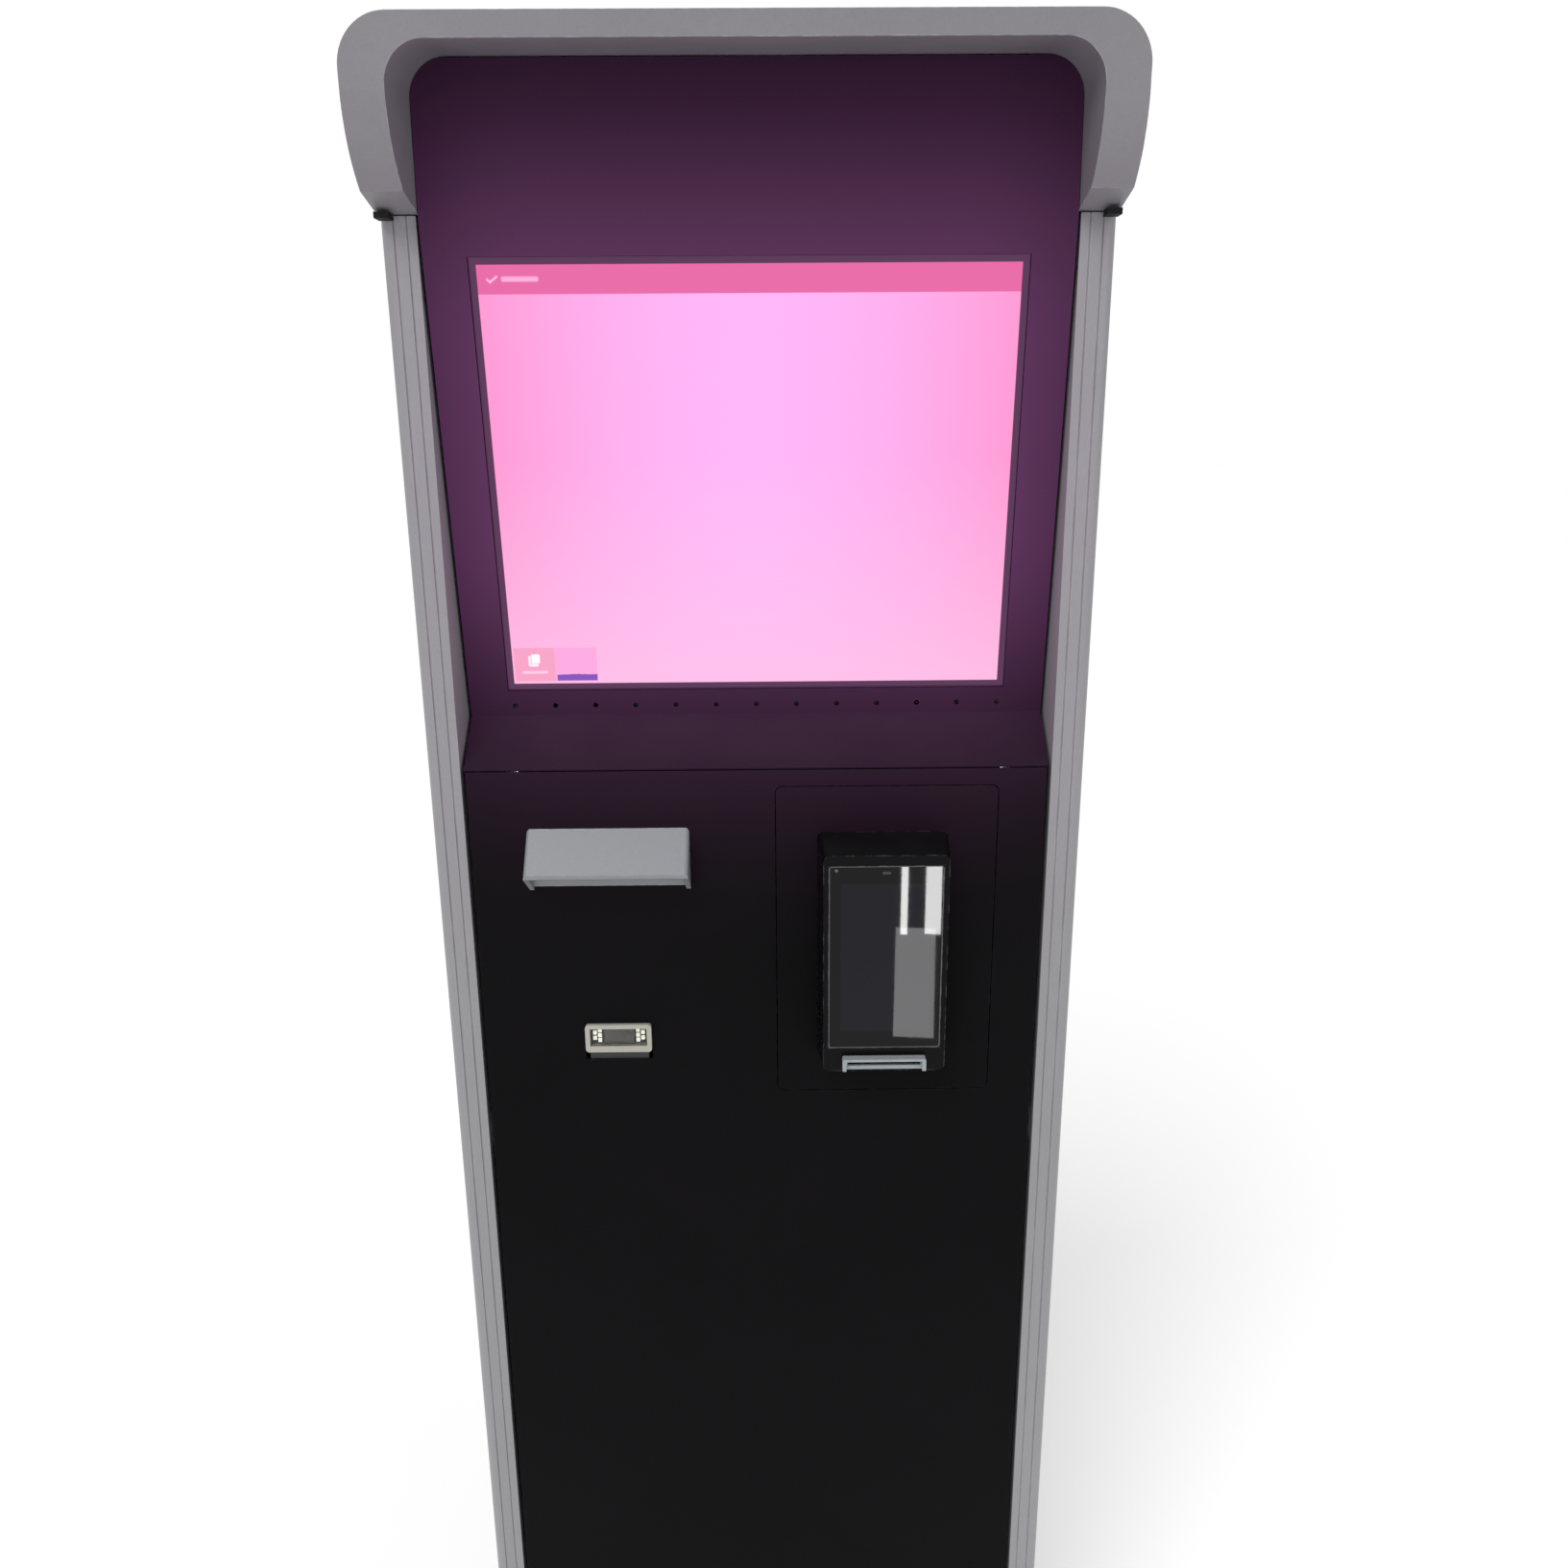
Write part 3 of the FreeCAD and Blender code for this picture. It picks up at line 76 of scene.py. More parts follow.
def blendColour(tree, factor, first, second, way="MIX"):
    values = {0: factor, 6: first, 7: second}
    return put(tree, "ShaderNodeMix", values, data_type="RGBA", blend_type=way).outputs[2]


def openGroup(name, inputs, outputs):
    tree = bpy.data.node_groups.new(name, "ShaderNodeTree")
    for label, kind, value in inputs:
        socket = tree.interface.new_socket(label, in_out="INPUT", socket_type="NodeSocket" + kind)
        if value is not None:
            socket.default_value = value
    for label in outputs:
        tree.interface.new_socket(label, in_out="OUTPUT", socket_type="NodeSocketFloat")
    return tree, put(tree, "NodeGroupInput").outputs, put(tree, "NodeGroupOutput").inputs


# shared effects
def makeGrain():
    # fine bumps of a coating or casting: two sizes of noise added up, and their mean as a tone
    inputs = [("Vector", "Vector", None), ("Scale", "Float", 900.0), ("Coarse", "Float", 0.35)]
    tree, given, out = openGroup("grain", inputs, ["Height", "Tone"])
    values = {"Vector": given["Vector"], "Scale": given["Scale"], "Detail": 2.0}
    fine = put(tree, "ShaderNodeTexNoise", values)
    slower = calc(tree, "MULTIPLY", given["Scale"], 0.23)
    broad = put(tree, "ShaderNodeTexNoise", {"Vector": given["Vector"], "Scale": slower, "Detail": 1.0})
    total = calc(tree, "MULTIPLY_ADD", broad.outputs[0], given["Coarse"], fine.outputs[0])
    tree.links.new(total, out["Height"])
    tree.links.new(calc(tree, "MULTIPLY", total, 0.75, clamp=True), out["Tone"])
    return tree


def makeMottle():
    # slow change over a surface: handling marks and uneven spray, 0 to 1
    inputs = [("Vector", "Vector", None), ("Scale", "Float", 6.0), ("Contrast", "Float", 1.6)]
    tree, given, out = openGroup("mottle", inputs, ["Tone"])
    values = {"Vector": given["Vector"], "Scale": given["Scale"], "Detail": 5.0, "Roughness": 0.62,
              "Distortion": 0.4}
    cloud = put(tree, "ShaderNodeTexNoise", values)
    centred = calc(tree, "SUBTRACT", cloud.outputs[0], 0.5)
    tree.links.new(calc(tree, "MULTIPLY_ADD", centred, given["Contrast"], 0.5, clamp=True), out["Tone"])
    return tree


def makeEdgeWearAndGlint():
    # 1 where a rounded copy of the surface turns away from the real one, broken up by noise
    # on gloss_black this edge mask carries a painted highlight, elsewhere rubbed paint
    inputs = [("Vector", "Vector", None), ("Radius", "Float", 0.0012), ("Amount", "Float", 1.0)]
    tree, given, out = openGroup("edgeWearAndGlint", inputs, ["Mask"])
    rounded = put(tree, "ShaderNodeBevel", {"Radius": given["Radius"]}, samples=4)
    true = put(tree, "ShaderNodeNewGeometry")
    facing = put(tree, "ShaderNodeVectorMath", {0: rounded.outputs[0], 1: true.outputs["Normal"]},
                 operation="DOT_PRODUCT")
    turned = calc(tree, "SUBTRACT", 1.0, facing.outputs["Value"])
    sharpened = calc(tree, "MULTIPLY", turned, 9.0, clamp=True)
    chips = put(tree, "ShaderNodeTexNoise", {"Vector": given["Vector"], "Scale": 130.0, "Detail": 4.0})
    broken = put(tree, "ShaderNodeMapRange", {"Value": chips.outputs[0], "From Min": 0.45, "From Max": 0.68})
    mask = calc(tree, "MULTIPLY", sharpened, broken.outputs[0])
    tree.links.new(calc(tree, "MULTIPLY", mask, given["Amount"], clamp=True), out["Mask"])
    return tree


def makeDust():
    # settles on what faces up, thicker in patches
    inputs = [("Vector", "Vector", None), ("Amount", "Float", 0.3)]
    tree, given, out = openGroup("dust", inputs, ["Mask"])
    place = put(tree, "ShaderNodeNewGeometry")
    upward = put(tree, "ShaderNodeSeparateXYZ", {0: place.outputs["Normal"]}).outputs["Z"]
    level = put(tree, "ShaderNodeMapRange", {"Value": upward, "From Min": 0.55, "From Max": 1.0}).outputs[0]
    patches = put(tree, "ShaderNodeTexNoise", {"Vector": given["Vector"], "Scale": 22.0, "Detail": 6.0})
    mask = calc(tree, "MULTIPLY", level, patches.outputs[0])
    tree.links.new(calc(tree, "MULTIPLY", mask, given["Amount"], clamp=True), out["Mask"])
    return tree


def makePatch():
    # a rounded rectangle in X and Z: the distance outside its edge, turned into a soft-edged mask
    inputs = [("Vector", "Vector", None), ("Centre", "Vector", None), ("Half", "Vector", None),
              ("Round", "Float", 0.001), ("Soft", "Float", 0.0006)]
    tree, given, out = openGroup("patch", inputs, ["Mask"])
    offset = put(tree, "ShaderNodeVectorMath", {0: given["Vector"], 1: given["Centre"]},
                 operation="SUBTRACT")
    apart = put(tree, "ShaderNodeVectorMath", {0: offset.outputs[0]}, operation="ABSOLUTE")
    past = put(tree, "ShaderNodeVectorMath", {0: apart.outputs[0], 1: given["Half"]}, operation="SUBTRACT")
    parts = put(tree, "ShaderNodeSeparateXYZ", {0: past.outputs[0]})
    x = calc(tree, "ADD", parts.outputs["X"], given["Round"])
    z = calc(tree, "ADD", parts.outputs["Z"], given["Round"])
    outX = calc(tree, "MAXIMUM", x, 0.0)
    outZ = calc(tree, "MAXIMUM", z, 0.0)
    reach = calc(tree, "SQRT", calc(tree, "MULTIPLY_ADD", outX, outX, calc(tree, "MULTIPLY", outZ, outZ)))
    inner = calc(tree, "MINIMUM", calc(tree, "MAXIMUM", x, z), 0.0)
    distance = calc(tree, "SUBTRACT", calc(tree, "ADD", reach, inner), given["Round"])
    mask = calc(tree, "SUBTRACT", 0.5, calc(tree, "DIVIDE", distance, given["Soft"]), clamp=True)
    tree.links.new(mask, out["Mask"])
    return tree


effects = {"grain": makeGrain(), "mottle": makeMottle(), "edgeWearAndGlint": makeEdgeWearAndGlint(), "dust": makeDust(),
           "patch": makePatch()}


def effect(tree, name, **values):
    node = put(tree, "ShaderNodeGroup", node_tree=effects[name])
    for key, value in values.items():
        if isinstance(value, bpy.types.NodeSocket):
            tree.links.new(value, node.inputs[key])
        else:
            node.inputs[key].default_value = value
    return node.outputs


def openMaterial(name):
    material = bpy.data.materials.new(name)
    material.use_nodes = True
    tree = material.node_tree
    tree.nodes.clear()
    shader = put(tree, "ShaderNodeBsdfPrincipled")
    end = put(tree, "ShaderNodeOutputMaterial")
    tree.links.new(shader.outputs[0], end.inputs["Surface"])
    return material, tree, shader


def objectPlace(tree, **mapping):
    where = put(tree, "ShaderNodeTexCoord")
    values = {"Vector": where.outputs["Object"]}
    values.update(mapping)
    return put(tree, "ShaderNodeMapping", values).outputs[0]


# colour and second are mixed by the mottle; grain is bumps per metre, bump their height in mm;
# the edge colour shows rubbed paint, and on gloss_black a painted highlight; its width is their reach in mm
plain = {"metallic": 0.0, "coat": 0.0, "shine": 0.5, "roughSpread": 0.08, "grain": 900.0, "bump": 0.02,
         "stretch": (1, 1, 1), "wearAndGlint": 0.35, "wearAndGlintWidth": 1.0, "dust": 0.15, "mottle": 6.0, "bloom": False}
dustColour = (0.42, 0.41, 0.39, 1)
finishes = {
    "base_black": {"colour": (0.030, 0.030, 0.033), "second": (0.042, 0.041, 0.044), "rough": 0.5,
                   "wornAndGlint": (0.16, 0.16, 0.16), "dust": 0.45, "bump": 0.05, "wearAndGlint": 0.6},
    "post_grey": {"colour": (0.225, 0.222, 0.232), "second": (0.252, 0.250, 0.260), "rough": 0.42,
                  "wornAndGlint": (0.50, 0.50, 0.51), "stretch": (1, 1, 0.25), "bump": 0.012},
    "hood_grey": {"colour": (0.168, 0.165, 0.176), "second": (0.190, 0.187, 0.198), "rough": 0.46,
                  "wornAndGlint": (0.62, 0.61, 0.62), "bump": 0.018, "wearAndGlint": 0.5},
    "black_powder": {"colour": (0.0024, 0.0020, 0.0025), "second": (0.0040, 0.0034, 0.0041), "rough": 0.54,
                     "wornAndGlint": (0.05, 0.045, 0.05), "grain": 620.0, "bump": 0.09, "wearAndGlint": 0.25, "dust": 0.03,
                     "shine": 0.05},
    "zinc_steel": {"colour": (0.50, 0.51, 0.52), "second": (0.60, 0.61, 0.60), "rough": 0.38,
                   "metallic": 0.9, "wornAndGlint": (0.7, 0.7, 0.7), "mottle": 38.0, "roughSpread": 0.16},
    "bright_steel": {"colour": (0.62, 0.62, 0.62), "second": (0.70, 0.70, 0.70), "rough": 0.27,
                     "metallic": 1.0, "wornAndGlint": (0.8, 0.8, 0.8), "stretch": (1, 6, 6), "grain": 260.0},
    "slate_steel": {"colour": (0.030, 0.032, 0.035), "second": (0.042, 0.044, 0.047), "rough": 0.45,
                    "wornAndGlint": (0.3, 0.3, 0.3), "shine": 0.3},
    "black_rubber": {"colour": (0.007, 0.006, 0.007), "second": (0.012, 0.011, 0.012), "rough": 0.72,
                     "wornAndGlint": (0.05, 0.05, 0.05), "bump": 0.04, "grain": 500.0, "shine": 0.2},
    "black_plastic": {"colour": (0.010, 0.010, 0.011), "second": (0.016, 0.016, 0.017), "rough": 0.5,
                      "wornAndGlint": (0.07, 0.07, 0.07), "bump": 0.05, "grain": 700.0, "shine": 0.3},
    # gloss_black: the light edge colour paints a highlight along the terminal's edges
    "gloss_black": {"colour": (0.0022, 0.0018, 0.0024), "second": (0.0034, 0.0028, 0.0036), "rough": 0.20,
                    "wornAndGlint": (0.15, 0.14, 0.16), "bump": 0.002, "wearAndGlint": 0.9, "roughSpread": 0.05,
                    "dust": 0.02, "shine": 0.09},
    "pale_bezel": {"colour": (0.24, 0.27, 0.285), "second": (0.27, 0.30, 0.32), "rough": 0.42,
                   "wornAndGlint": (0.65, 0.66, 0.68), "bump": 0.01},
    "receipt_grey": {"colour": (0.190, 0.198, 0.214), "second": (0.212, 0.220, 0.236), "rough": 0.40,
                     "wornAndGlint": (0.62, 0.63, 0.65), "bump": 0.012},
    "scanner_beige": {"colour": (0.33, 0.32, 0.265), "second": (0.37, 0.36, 0.31), "rough": 0.42,
                      "wornAndGlint": (0.75, 0.74, 0.70), "bump": 0.01},
    "scanner_brown": {"colour": (0.055, 0.045, 0.040), "second": (0.085, 0.070, 0.062), "rough": 0.35,
                      "wornAndGlint": (0.4, 0.35, 0.3), "bump": 0.01, "coat": 0.3},
    "alloy_case": {"colour": (0.50, 0.51, 0.52), "second": (0.58, 0.59, 0.60), "rough": 0.36,
                   "metallic": 0.95, "wornAndGlint": (0.75, 0.75, 0.76), "stretch": (0.15, 1, 1), "grain": 700.0},
    "lock_nickel": {"colour": (0.66, 0.64, 0.60), "second": (0.74, 0.72, 0.68), "rough": 0.16,
                    "metallic": 1.0, "wornAndGlint": (0.85, 0.83, 0.8), "bump": 0.004},
    "brown_card": {"colour": (0.33, 0.22, 0.13), "second": (0.42, 0.29, 0.18), "rough": 0.85,
                   "wornAndGlint": (0.6, 0.5, 0.4), "grain": 300.0, "bump": 0.08},
    "button_grey": {"colour": (0.22, 0.23, 0.24), "second": (0.28, 0.29, 0.30), "rough": 0.35,
                    "wornAndGlint": (0.5, 0.5, 0.5)},
    "rocker_red": {"colour": (0.30, 0.012, 0.010), "second": (0.38, 0.018, 0.014), "rough": 0.22,
                   "coat": 0.4, "wornAndGlint": (0.5, 0.2, 0.2), "bump": 0.002},
    "rim_black": {"colour": (0.05, 0.05, 0.055), "second": (0.08, 0.08, 0.085), "rough": 0.12, "coat": 0.6,
                  "wornAndGlint": (0.2, 0.2, 0.2), "bump": 0.001, "wearAndGlint": 0.2},
    "black_silk": {"colour": (0.010, 0.010, 0.011), "second": (0.016, 0.016, 0.017), "rough": 0.3,
                   "coat": 0.5, "wornAndGlint": (0.08, 0.08, 0.08), "bump": 0.004},
}

# painted glow: emission on the panels round the screen stands for the light that the lit screen
# throws on them; half and rise give the patch that it spreads from, in metres, and reach is how far it gets
bloom = {"colour": (0.87, 0.25, 0.82, 1), "half": (0.188, 0, 0.110), "corner": 0.05, "rise": 0.03,
         "reach": 0.62, "fall": 3.0}


# painted glow round the screen, strongest next to it, on the panels' front faces only
def bloomColour(tree):
    low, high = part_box("touch_glass")
    centre = (0, 0, (low.z + high.z) / 2 + bloom["rise"])
    spread = effect(tree, "patch", Vector=objectPlace(tree), Centre=centre, Half=bloom["half"],
                    Round=bloom["corner"], Soft=bloom["reach"])["Mask"]
    normal = put(tree, "ShaderNodeNewGeometry").outputs["Normal"]
    forward = put(tree, "ShaderNodeSeparateXYZ", {0: normal}).outputs["Y"]
    outer = calc(tree, "LESS_THAN", forward, -0.3)  # not on the panels' inner faces
    glow = calc(tree, "MULTIPLY", calc(tree, "POWER", spread, bloom["fall"]), outer)
    return blendColour(tree, glow, (0, 0, 0, 1), bloom["colour"])


def makeFinish(name, given):
    look = {**plain, **given}
    material, tree, shader = openMaterial(name)
    place = objectPlace(tree, Scale=look["stretch"])
    grain = effect(tree, "grain", Vector=place, Scale=look["grain"])
    cloud = effect(tree, "mottle", Vector=place, Scale=look["mottle"])["Tone"]
    wornAndGlint = effect(tree, "edgeWearAndGlint", Vector=place, Radius=look["wearAndGlintWidth"] * mm, Amount=look["wearAndGlint"])["Mask"]
    dusty = effect(tree, "dust", Vector=place, Amount=look["dust"])["Mask"]
    colour = blendColour(tree, cloud, (*look["colour"], 1), (*look["second"], 1))
    speckle = rescale(tree, grain["Tone"], 0.86, 1.10)
    colour = blendColour(tree, 1.0, colour, speckle, "MULTIPLY")
    # edge colour: rubbed paint, and on gloss_black a painted highlight
    colour = blendColour(tree, wornAndGlint, colour, (*look["wornAndGlint"], 1))
    colour = blendColour(tree, dusty, colour, dustColour)
    low, high = look["rough"] - look["roughSpread"] / 2, look["rough"] + look["roughSpread"] / 2
    rough = calc(tree, "MULTIPLY_ADD", dusty, 0.3, rescale(tree, cloud, low, high), clamp=True)
    bump = put(tree, "ShaderNodeBump", {"Height": grain["Height"], "Distance": look["bump"] * mm})
    for key, value in (("Base Color", colour), ("Roughness", rough), ("Normal", bump.outputs[0])):
        tree.links.new(value, shader.inputs[key])
    shader.inputs["Metallic"].default_value = look["metallic"]
    if look["bloom"]:
        # painted glow: the panels' emission stands for the screen's light falling on them
        tree.links.new(bloomColour(tree), shader.inputs["Emission Color"])
        shader.inputs["Emission Strength"].default_value = 1.0
    shader.inputs["Specular IOR Level"].default_value = look["shine"]
    shader.inputs["Coat Weight"].default_value = look["coat"]
    shader.inputs["Coat Roughness"].default_value = 0.08
    return material


# the black front panels, with the screen's light painted on them as a glow
finishes["black_front_painted_glow"] = {**finishes["black_powder"], "bloom": True}
finishes["black_back"] = {**finishes["black_powder"], "colour": (0.011, 0.011, 0.012), "shine": 0.3,
                          "second": (0.017, 0.017, 0.018), "dust": 0.12}
materials = {name: makeFinish(name, look) for name, look in finishes.items()}
litFronts = ("display_panel", "lower_front_panel", "terminal_plate", "screen_gasket")
backs = ("service_door", "rear_upper_panel", "rear_lower_panel")
finishOf = {**slotOf, **dict.fromkeys(litFronts, "black_front_painted_glow"), **dict.fromkeys(backs, "black_back"),
            "touch_glass": "screen", "lcd_panel": "slate_steel"}  # the picture is on the glass itself


# paper: faint fibres, and the turns of the roll on its ends
def makePaper():
    low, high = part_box("paper_roll")
    centre = (low + high) / 2
    material, tree, shader = openMaterial("white_paper")
    place = objectPlace(tree, Location=tuple(-centre))
    values = {"Vector": place, "Scale": 420.0, "Distortion": 0.6, "Detail": 1.0}
    turns = put(tree, "ShaderNodeTexWave", values, wave_type="RINGS", rings_direction="X")
    fibres = effect(tree, "grain", Vector=place, Scale=1400.0)
    shade = calc(tree, "MULTIPLY", turns.outputs["Fac"], 0.35)
    colour = blendColour(tree, shade, (0.86, 0.86, 0.83, 1), (0.66, 0.66, 0.63, 1))
    height = calc(tree, "MULTIPLY_ADD", turns.outputs["Fac"], 0.6, fibres["Height"])
    bump = put(tree, "ShaderNodeBump", {"Height": height, "Distance": 0.05 * mm})
    rough = rescale(tree, fibres["Tone"], 0.72, 0.86)
    for key, value in (("Base Color", colour), ("Roughness", rough), ("Normal", bump.outputs[0])):
        tree.links.new(value, shader.inputs[key])
    return material


materials["white_paper"] = makePaper()


# clear glass of the scanner window
def makeClearGlass():
    material, tree, shader = openMaterial("clear_glass")
    place = objectPlace(tree)
    smear = effect(tree, "mottle", Vector=place, Scale=90.0)["Tone"]
    grime = effect(tree, "grain", Vector=place, Scale=500.0)
    colour = blendColour(tree, smear, (0.93, 0.95, 0.95, 1), (0.88, 0.90, 0.90, 1))
    bump = put(tree, "ShaderNodeBump", {"Height": grime["Height"], "Distance": 0.0005 * mm})
    tree.links.new(colour, shader.inputs["Base Color"])
    tree.links.new(rescale(tree, smear, 0.02, 0.06), shader.inputs["Roughness"])
    tree.links.new(bump.outputs[0], shader.inputs["Normal"])
    shader.inputs["Transmission Weight"].default_value = 1.0
    shader.inputs["IOR"].default_value = 1.3
    return material


materials["clear_glass"] = makeClearGlass()

# touch screen: a lit picture on the glass
# sizes in mm from the middle of the lit area, X to the right and Z up the leaning glass
screen = {
    "lean": math.radians(6.9), "half": (188.15, 150.55), "strength": 1.06,
    "sides": (1.0, 0.285, 0.60), "middle": (0.97, 0.42, 0.87), "foot": (1.0, 0.50, 0.74),
    "border": (0.085, 0.026, 0.080), "bar": (0.735, 0.115, 0.345), "ink": (1.0, 0.44, 0.70),
    "tile": (0.86, 0.33, 0.52), "iconBack": (1.0, 0.80, 0.92), "icon": (1.0, 0.90, 0.98),
    "caption": (1.0, 0.62, 0.78), "thumbnailSky": (0.98, 0.36, 0.70), "thumbnailHill": (0.185, 0.066, 0.47),
}
# what is drawn over the picture: left, right, foot, top, corner, softness of the edge, colour, strength
topBar = [
    (-193.15, 193.15, 131.5, 155.55, 0.01, 0.5, "bar", 1.0),
    (-171.5, -146, 139.7, 142.9, 1.2, 1.4, "ink", 0.85),  # caption, blurred
]
checkMark = [(-0.72, (-180.2, 140.2), 1.9), (0.62, (-176.9, 141.2), 3.4)]  # turn, middle, half length
pictureTile = [
    (-186.8, -155.2, -148.6, -121.9, 0.01, 0.5, "tile", 1.0),
    (-175.8, -168.2, -136.8, -128.2, 1.2, 0.5, "iconBack", 1.0),
    (-173.9, -166.6, -134.6, -126.6, 1.2, 0.4, "tile", 1.0),
    (-173.4, -166.9, -134.2, -127.0, 1.0, 0.4, "icon", 1.0),
    (-181.0, -161.4, -142.6, -140.4, 1.0, 1.2, "caption", 0.8),
    (-154.8, -123.0, -148.6, -121.9, 0.01, 0.5, "thumbnailSky", 1.0),
]
thumbnailFoot = (-154.4, -123.2, -148.4, -140.0, 0.01, 0.5)
hillTop = {"scale": 0.09, "height": 3.0, "foot": -144.2}


def makeScreen():
    material, tree, shader = openMaterial("touch_screen")
    low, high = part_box("touch_glass")
    lean = screen["lean"]
    middleY, middleZ = (low.y + high.y) / 2, (low.z + high.z) / 2
    rise = middleZ * math.cos(lean) - middleY * math.sin(lean)
    # turned upright and moved so that the lit area's middle is at nought, then scaled to mm
    upright = objectPlace(tree, Rotation=(-lean, 0, 0), Location=(0, 0, -rise))
    place = put(tree, "ShaderNodeMapping", {"Vector": upright, "Scale": (1000, 0, 1000)}).outputs[0]
    along = put(tree, "ShaderNodeSeparateXYZ", {0: place})

    def patch(left, right, foot, top, corner, soft):
        return effect(tree, "patch", Vector=place, Centre=((left + right) / 2, 0, (foot + top) / 2),
                      Half=((right - left) / 2, 0, (top - foot) / 2), Round=corner, Soft=soft)["Mask"]

    def over(colour, mask, tone, strength=1.0):
        return blendColour(tree, calc(tree, "MULTIPLY", mask, strength), colour, (*screen[tone], 1))

    def overAll(colour, rows):
        for *edges, tone, strength in rows:
            colour = over(colour, patch(*edges), tone, strength)
        return colour

    halfX, halfZ = screen["half"]
    aside = calc(tree, "DIVIDE", calc(tree, "ABSOLUTE", along.outputs["X"]), halfX)
    inward = calc(tree, "SUBTRACT", 1.0, calc(tree, "POWER", aside, 1.7), clamp=True)
    colour = blendColour(tree, inward, (*screen["sides"], 1), (*screen["middle"], 1))
    values = {"Value": along.outputs["Z"], "From Min": 20.0, "From Max": -halfZ}
    fall = put(tree, "ShaderNodeMapRange", values).outputs[0]
    colour = overAll(over(colour, fall, "foot", 0.75), topBar)
    # check mark: two strokes, each a thin patch on its own turned coordinates
    for turn, centre, length in checkMark:
        moved = put(tree, "ShaderNodeMapping", {"Vector": place, "Location": (-centre[0], 0, -centre[1])})
        spun = put(tree, "ShaderNodeMapping", {"Vector": moved.outputs[0], "Rotation": (0, turn, 0)})
        stroke = effect(tree, "patch", Vector=spun.outputs[0], Centre=(0, 0, 0), Half=(length, 0, 0.7),
                        Round=0.3, Soft=0.7)["Mask"]
        colour = over(colour, stroke, "ink")
    # picture tile in the lower left: an icon, and a thumbnail of a dusk sky over hills
    colour = overAll(colour, pictureTile)
    values = {"Vector": place, "Scale": hillTop["scale"], "Detail": 2.0}
    ridge = put(tree, "ShaderNodeTexNoise", values).outputs[0]
    crest = calc(tree, "MULTIPLY_ADD", ridge, hillTop["height"], hillTop["foot"])
    under = calc(tree, "SUBTRACT", crest, along.outputs["Z"], clamp=True)
    colour = over(colour, calc(tree, "MULTIPLY", under, patch(*thumbnailFoot)), "thumbnailHill")
    lit = patch(-halfX, halfX, -halfZ, halfZ, 0.3, 0.5)
    drift = effect(tree, "mottle", Vector=place, Scale=0.012, Contrast=0.5)["Tone"]
    shine = calc(tree, "MULTIPLY", lit, rescale(tree, drift, 0.97, 1.03))
    emission = blendColour(tree, shine, (*screen["border"], 1), colour)
    smear = effect(tree, "mottle", Vector=place, Scale=0.03)["Tone"]
    tree.links.new(emission, shader.inputs["Emission Color"])
    tree.links.new(rescale(tree, smear, 0.10, 0.22), shader.inputs["Roughness"])
    tree.links.new(blendColour(tree, lit, (0.004, 0.004, 0.005, 1), (0.02, 0.016, 0.02, 1)),
                   shader.inputs["Base Color"])
    shader.inputs["Emission Strength"].default_value = screen["strength"]
    shader.inputs["Specular IOR Level"].default_value = 0.2
    return material


materials["screen"] = makeScreen()


# payment terminal front: black-backed glass, the unlit display a little lighter
def makeTerminalGlass():
    material, tree, shader = openMaterial("terminal_front")
    low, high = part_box("terminal_display")
    centre = (low + high) / 2
    half = (high - low) / 2
    place = objectPlace(tree, Location=tuple(-centre))
    inset = 0.5 * mm
    display = effect(tree, "patch", Vector=place, Centre=(0, 0, 0),
                     Half=(half.x - inset, 0, half.z - inset), Round=0.6 * mm, Soft=inset)["Mask"]
    cloud = effect(tree, "mottle", Vector=place, Scale=9.0)["Tone"]
    lighter = blendColour(tree, cloud, (0.0030, 0.0028, 0.0056, 1), (0.0056, 0.0050, 0.0092, 1))
    colour = blendColour(tree, display, (0.0010, 0.0009, 0.0012, 1), lighter)
    smear = effect(tree, "mottle", Vector=place, Scale=40.0)["Tone"]
    bump = put(tree, "ShaderNodeBump", {"Height": smear, "Distance": 0.001 * mm})
    tree.links.new(colour, shader.inputs["Base Color"])
    tree.links.new(rescale(tree, smear, 0.008, 0.03), shader.inputs["Roughness"])
    tree.links.new(bump.outputs[0], shader.inputs["Normal"])
    shader.inputs["Specular IOR Level"].default_value = 0.2
    return material


materials["dark_glass"] = makeTerminalGlass()
materials["terminal_screen"] = materials["black_silk"]


# scanner lights
def makeLed():
    material, tree, shader = openMaterial("led_white")
    place = objectPlace(tree)
    tone = effect(tree, "mottle", Vector=place, Scale=260.0)["Tone"]
    tree.links.new(blendColour(tree, tone, (0.80, 0.78, 0.66, 1), (0.95, 0.94, 0.86, 1)),
                   shader.inputs["Base Color"])
    tree.links.new(rescale(tree, tone, 0.15, 0.3), shader.inputs["Roughness"])
    tree.links.new(blendColour(tree, tone, (0.55, 0.50, 0.40, 1), (0.75, 0.72, 0.62, 1)),
                   shader.inputs["Emission Color"])
    shader.inputs["Emission Strength"].default_value = 0.7
    return material


materials["led_white"] = makeLed()

for name, node in nodes.items():
    node.data.materials.clear()
    node.data.materials.append(materials[finishOf[name]])
print("finishes made:", len(materials))


# surfaces
def addSurface(name, points, faces, finish, thickness=0.0):
    # every piece made here rides on the still body
    mesh = bpy.data.meshes.new(name)
    mesh.from_pydata(points.reshape(-1, 3).tolist(), [], faces.tolist())
    mesh.polygons.foreach_set("use_smooth", np.full(len(mesh.polygons), True))
    mesh.validate()
    piece = bpy.data.objects.new(name, mesh)
    bpy.context.scene.collection.objects.link(piece)
    mesh.materials.append(materials[finish])
    if thickness:
        wall = piece.modifiers.new("wall", "SOLIDIFY")
        wall.thickness = thickness
        wall.offset = -1.0
    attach(piece, "root")


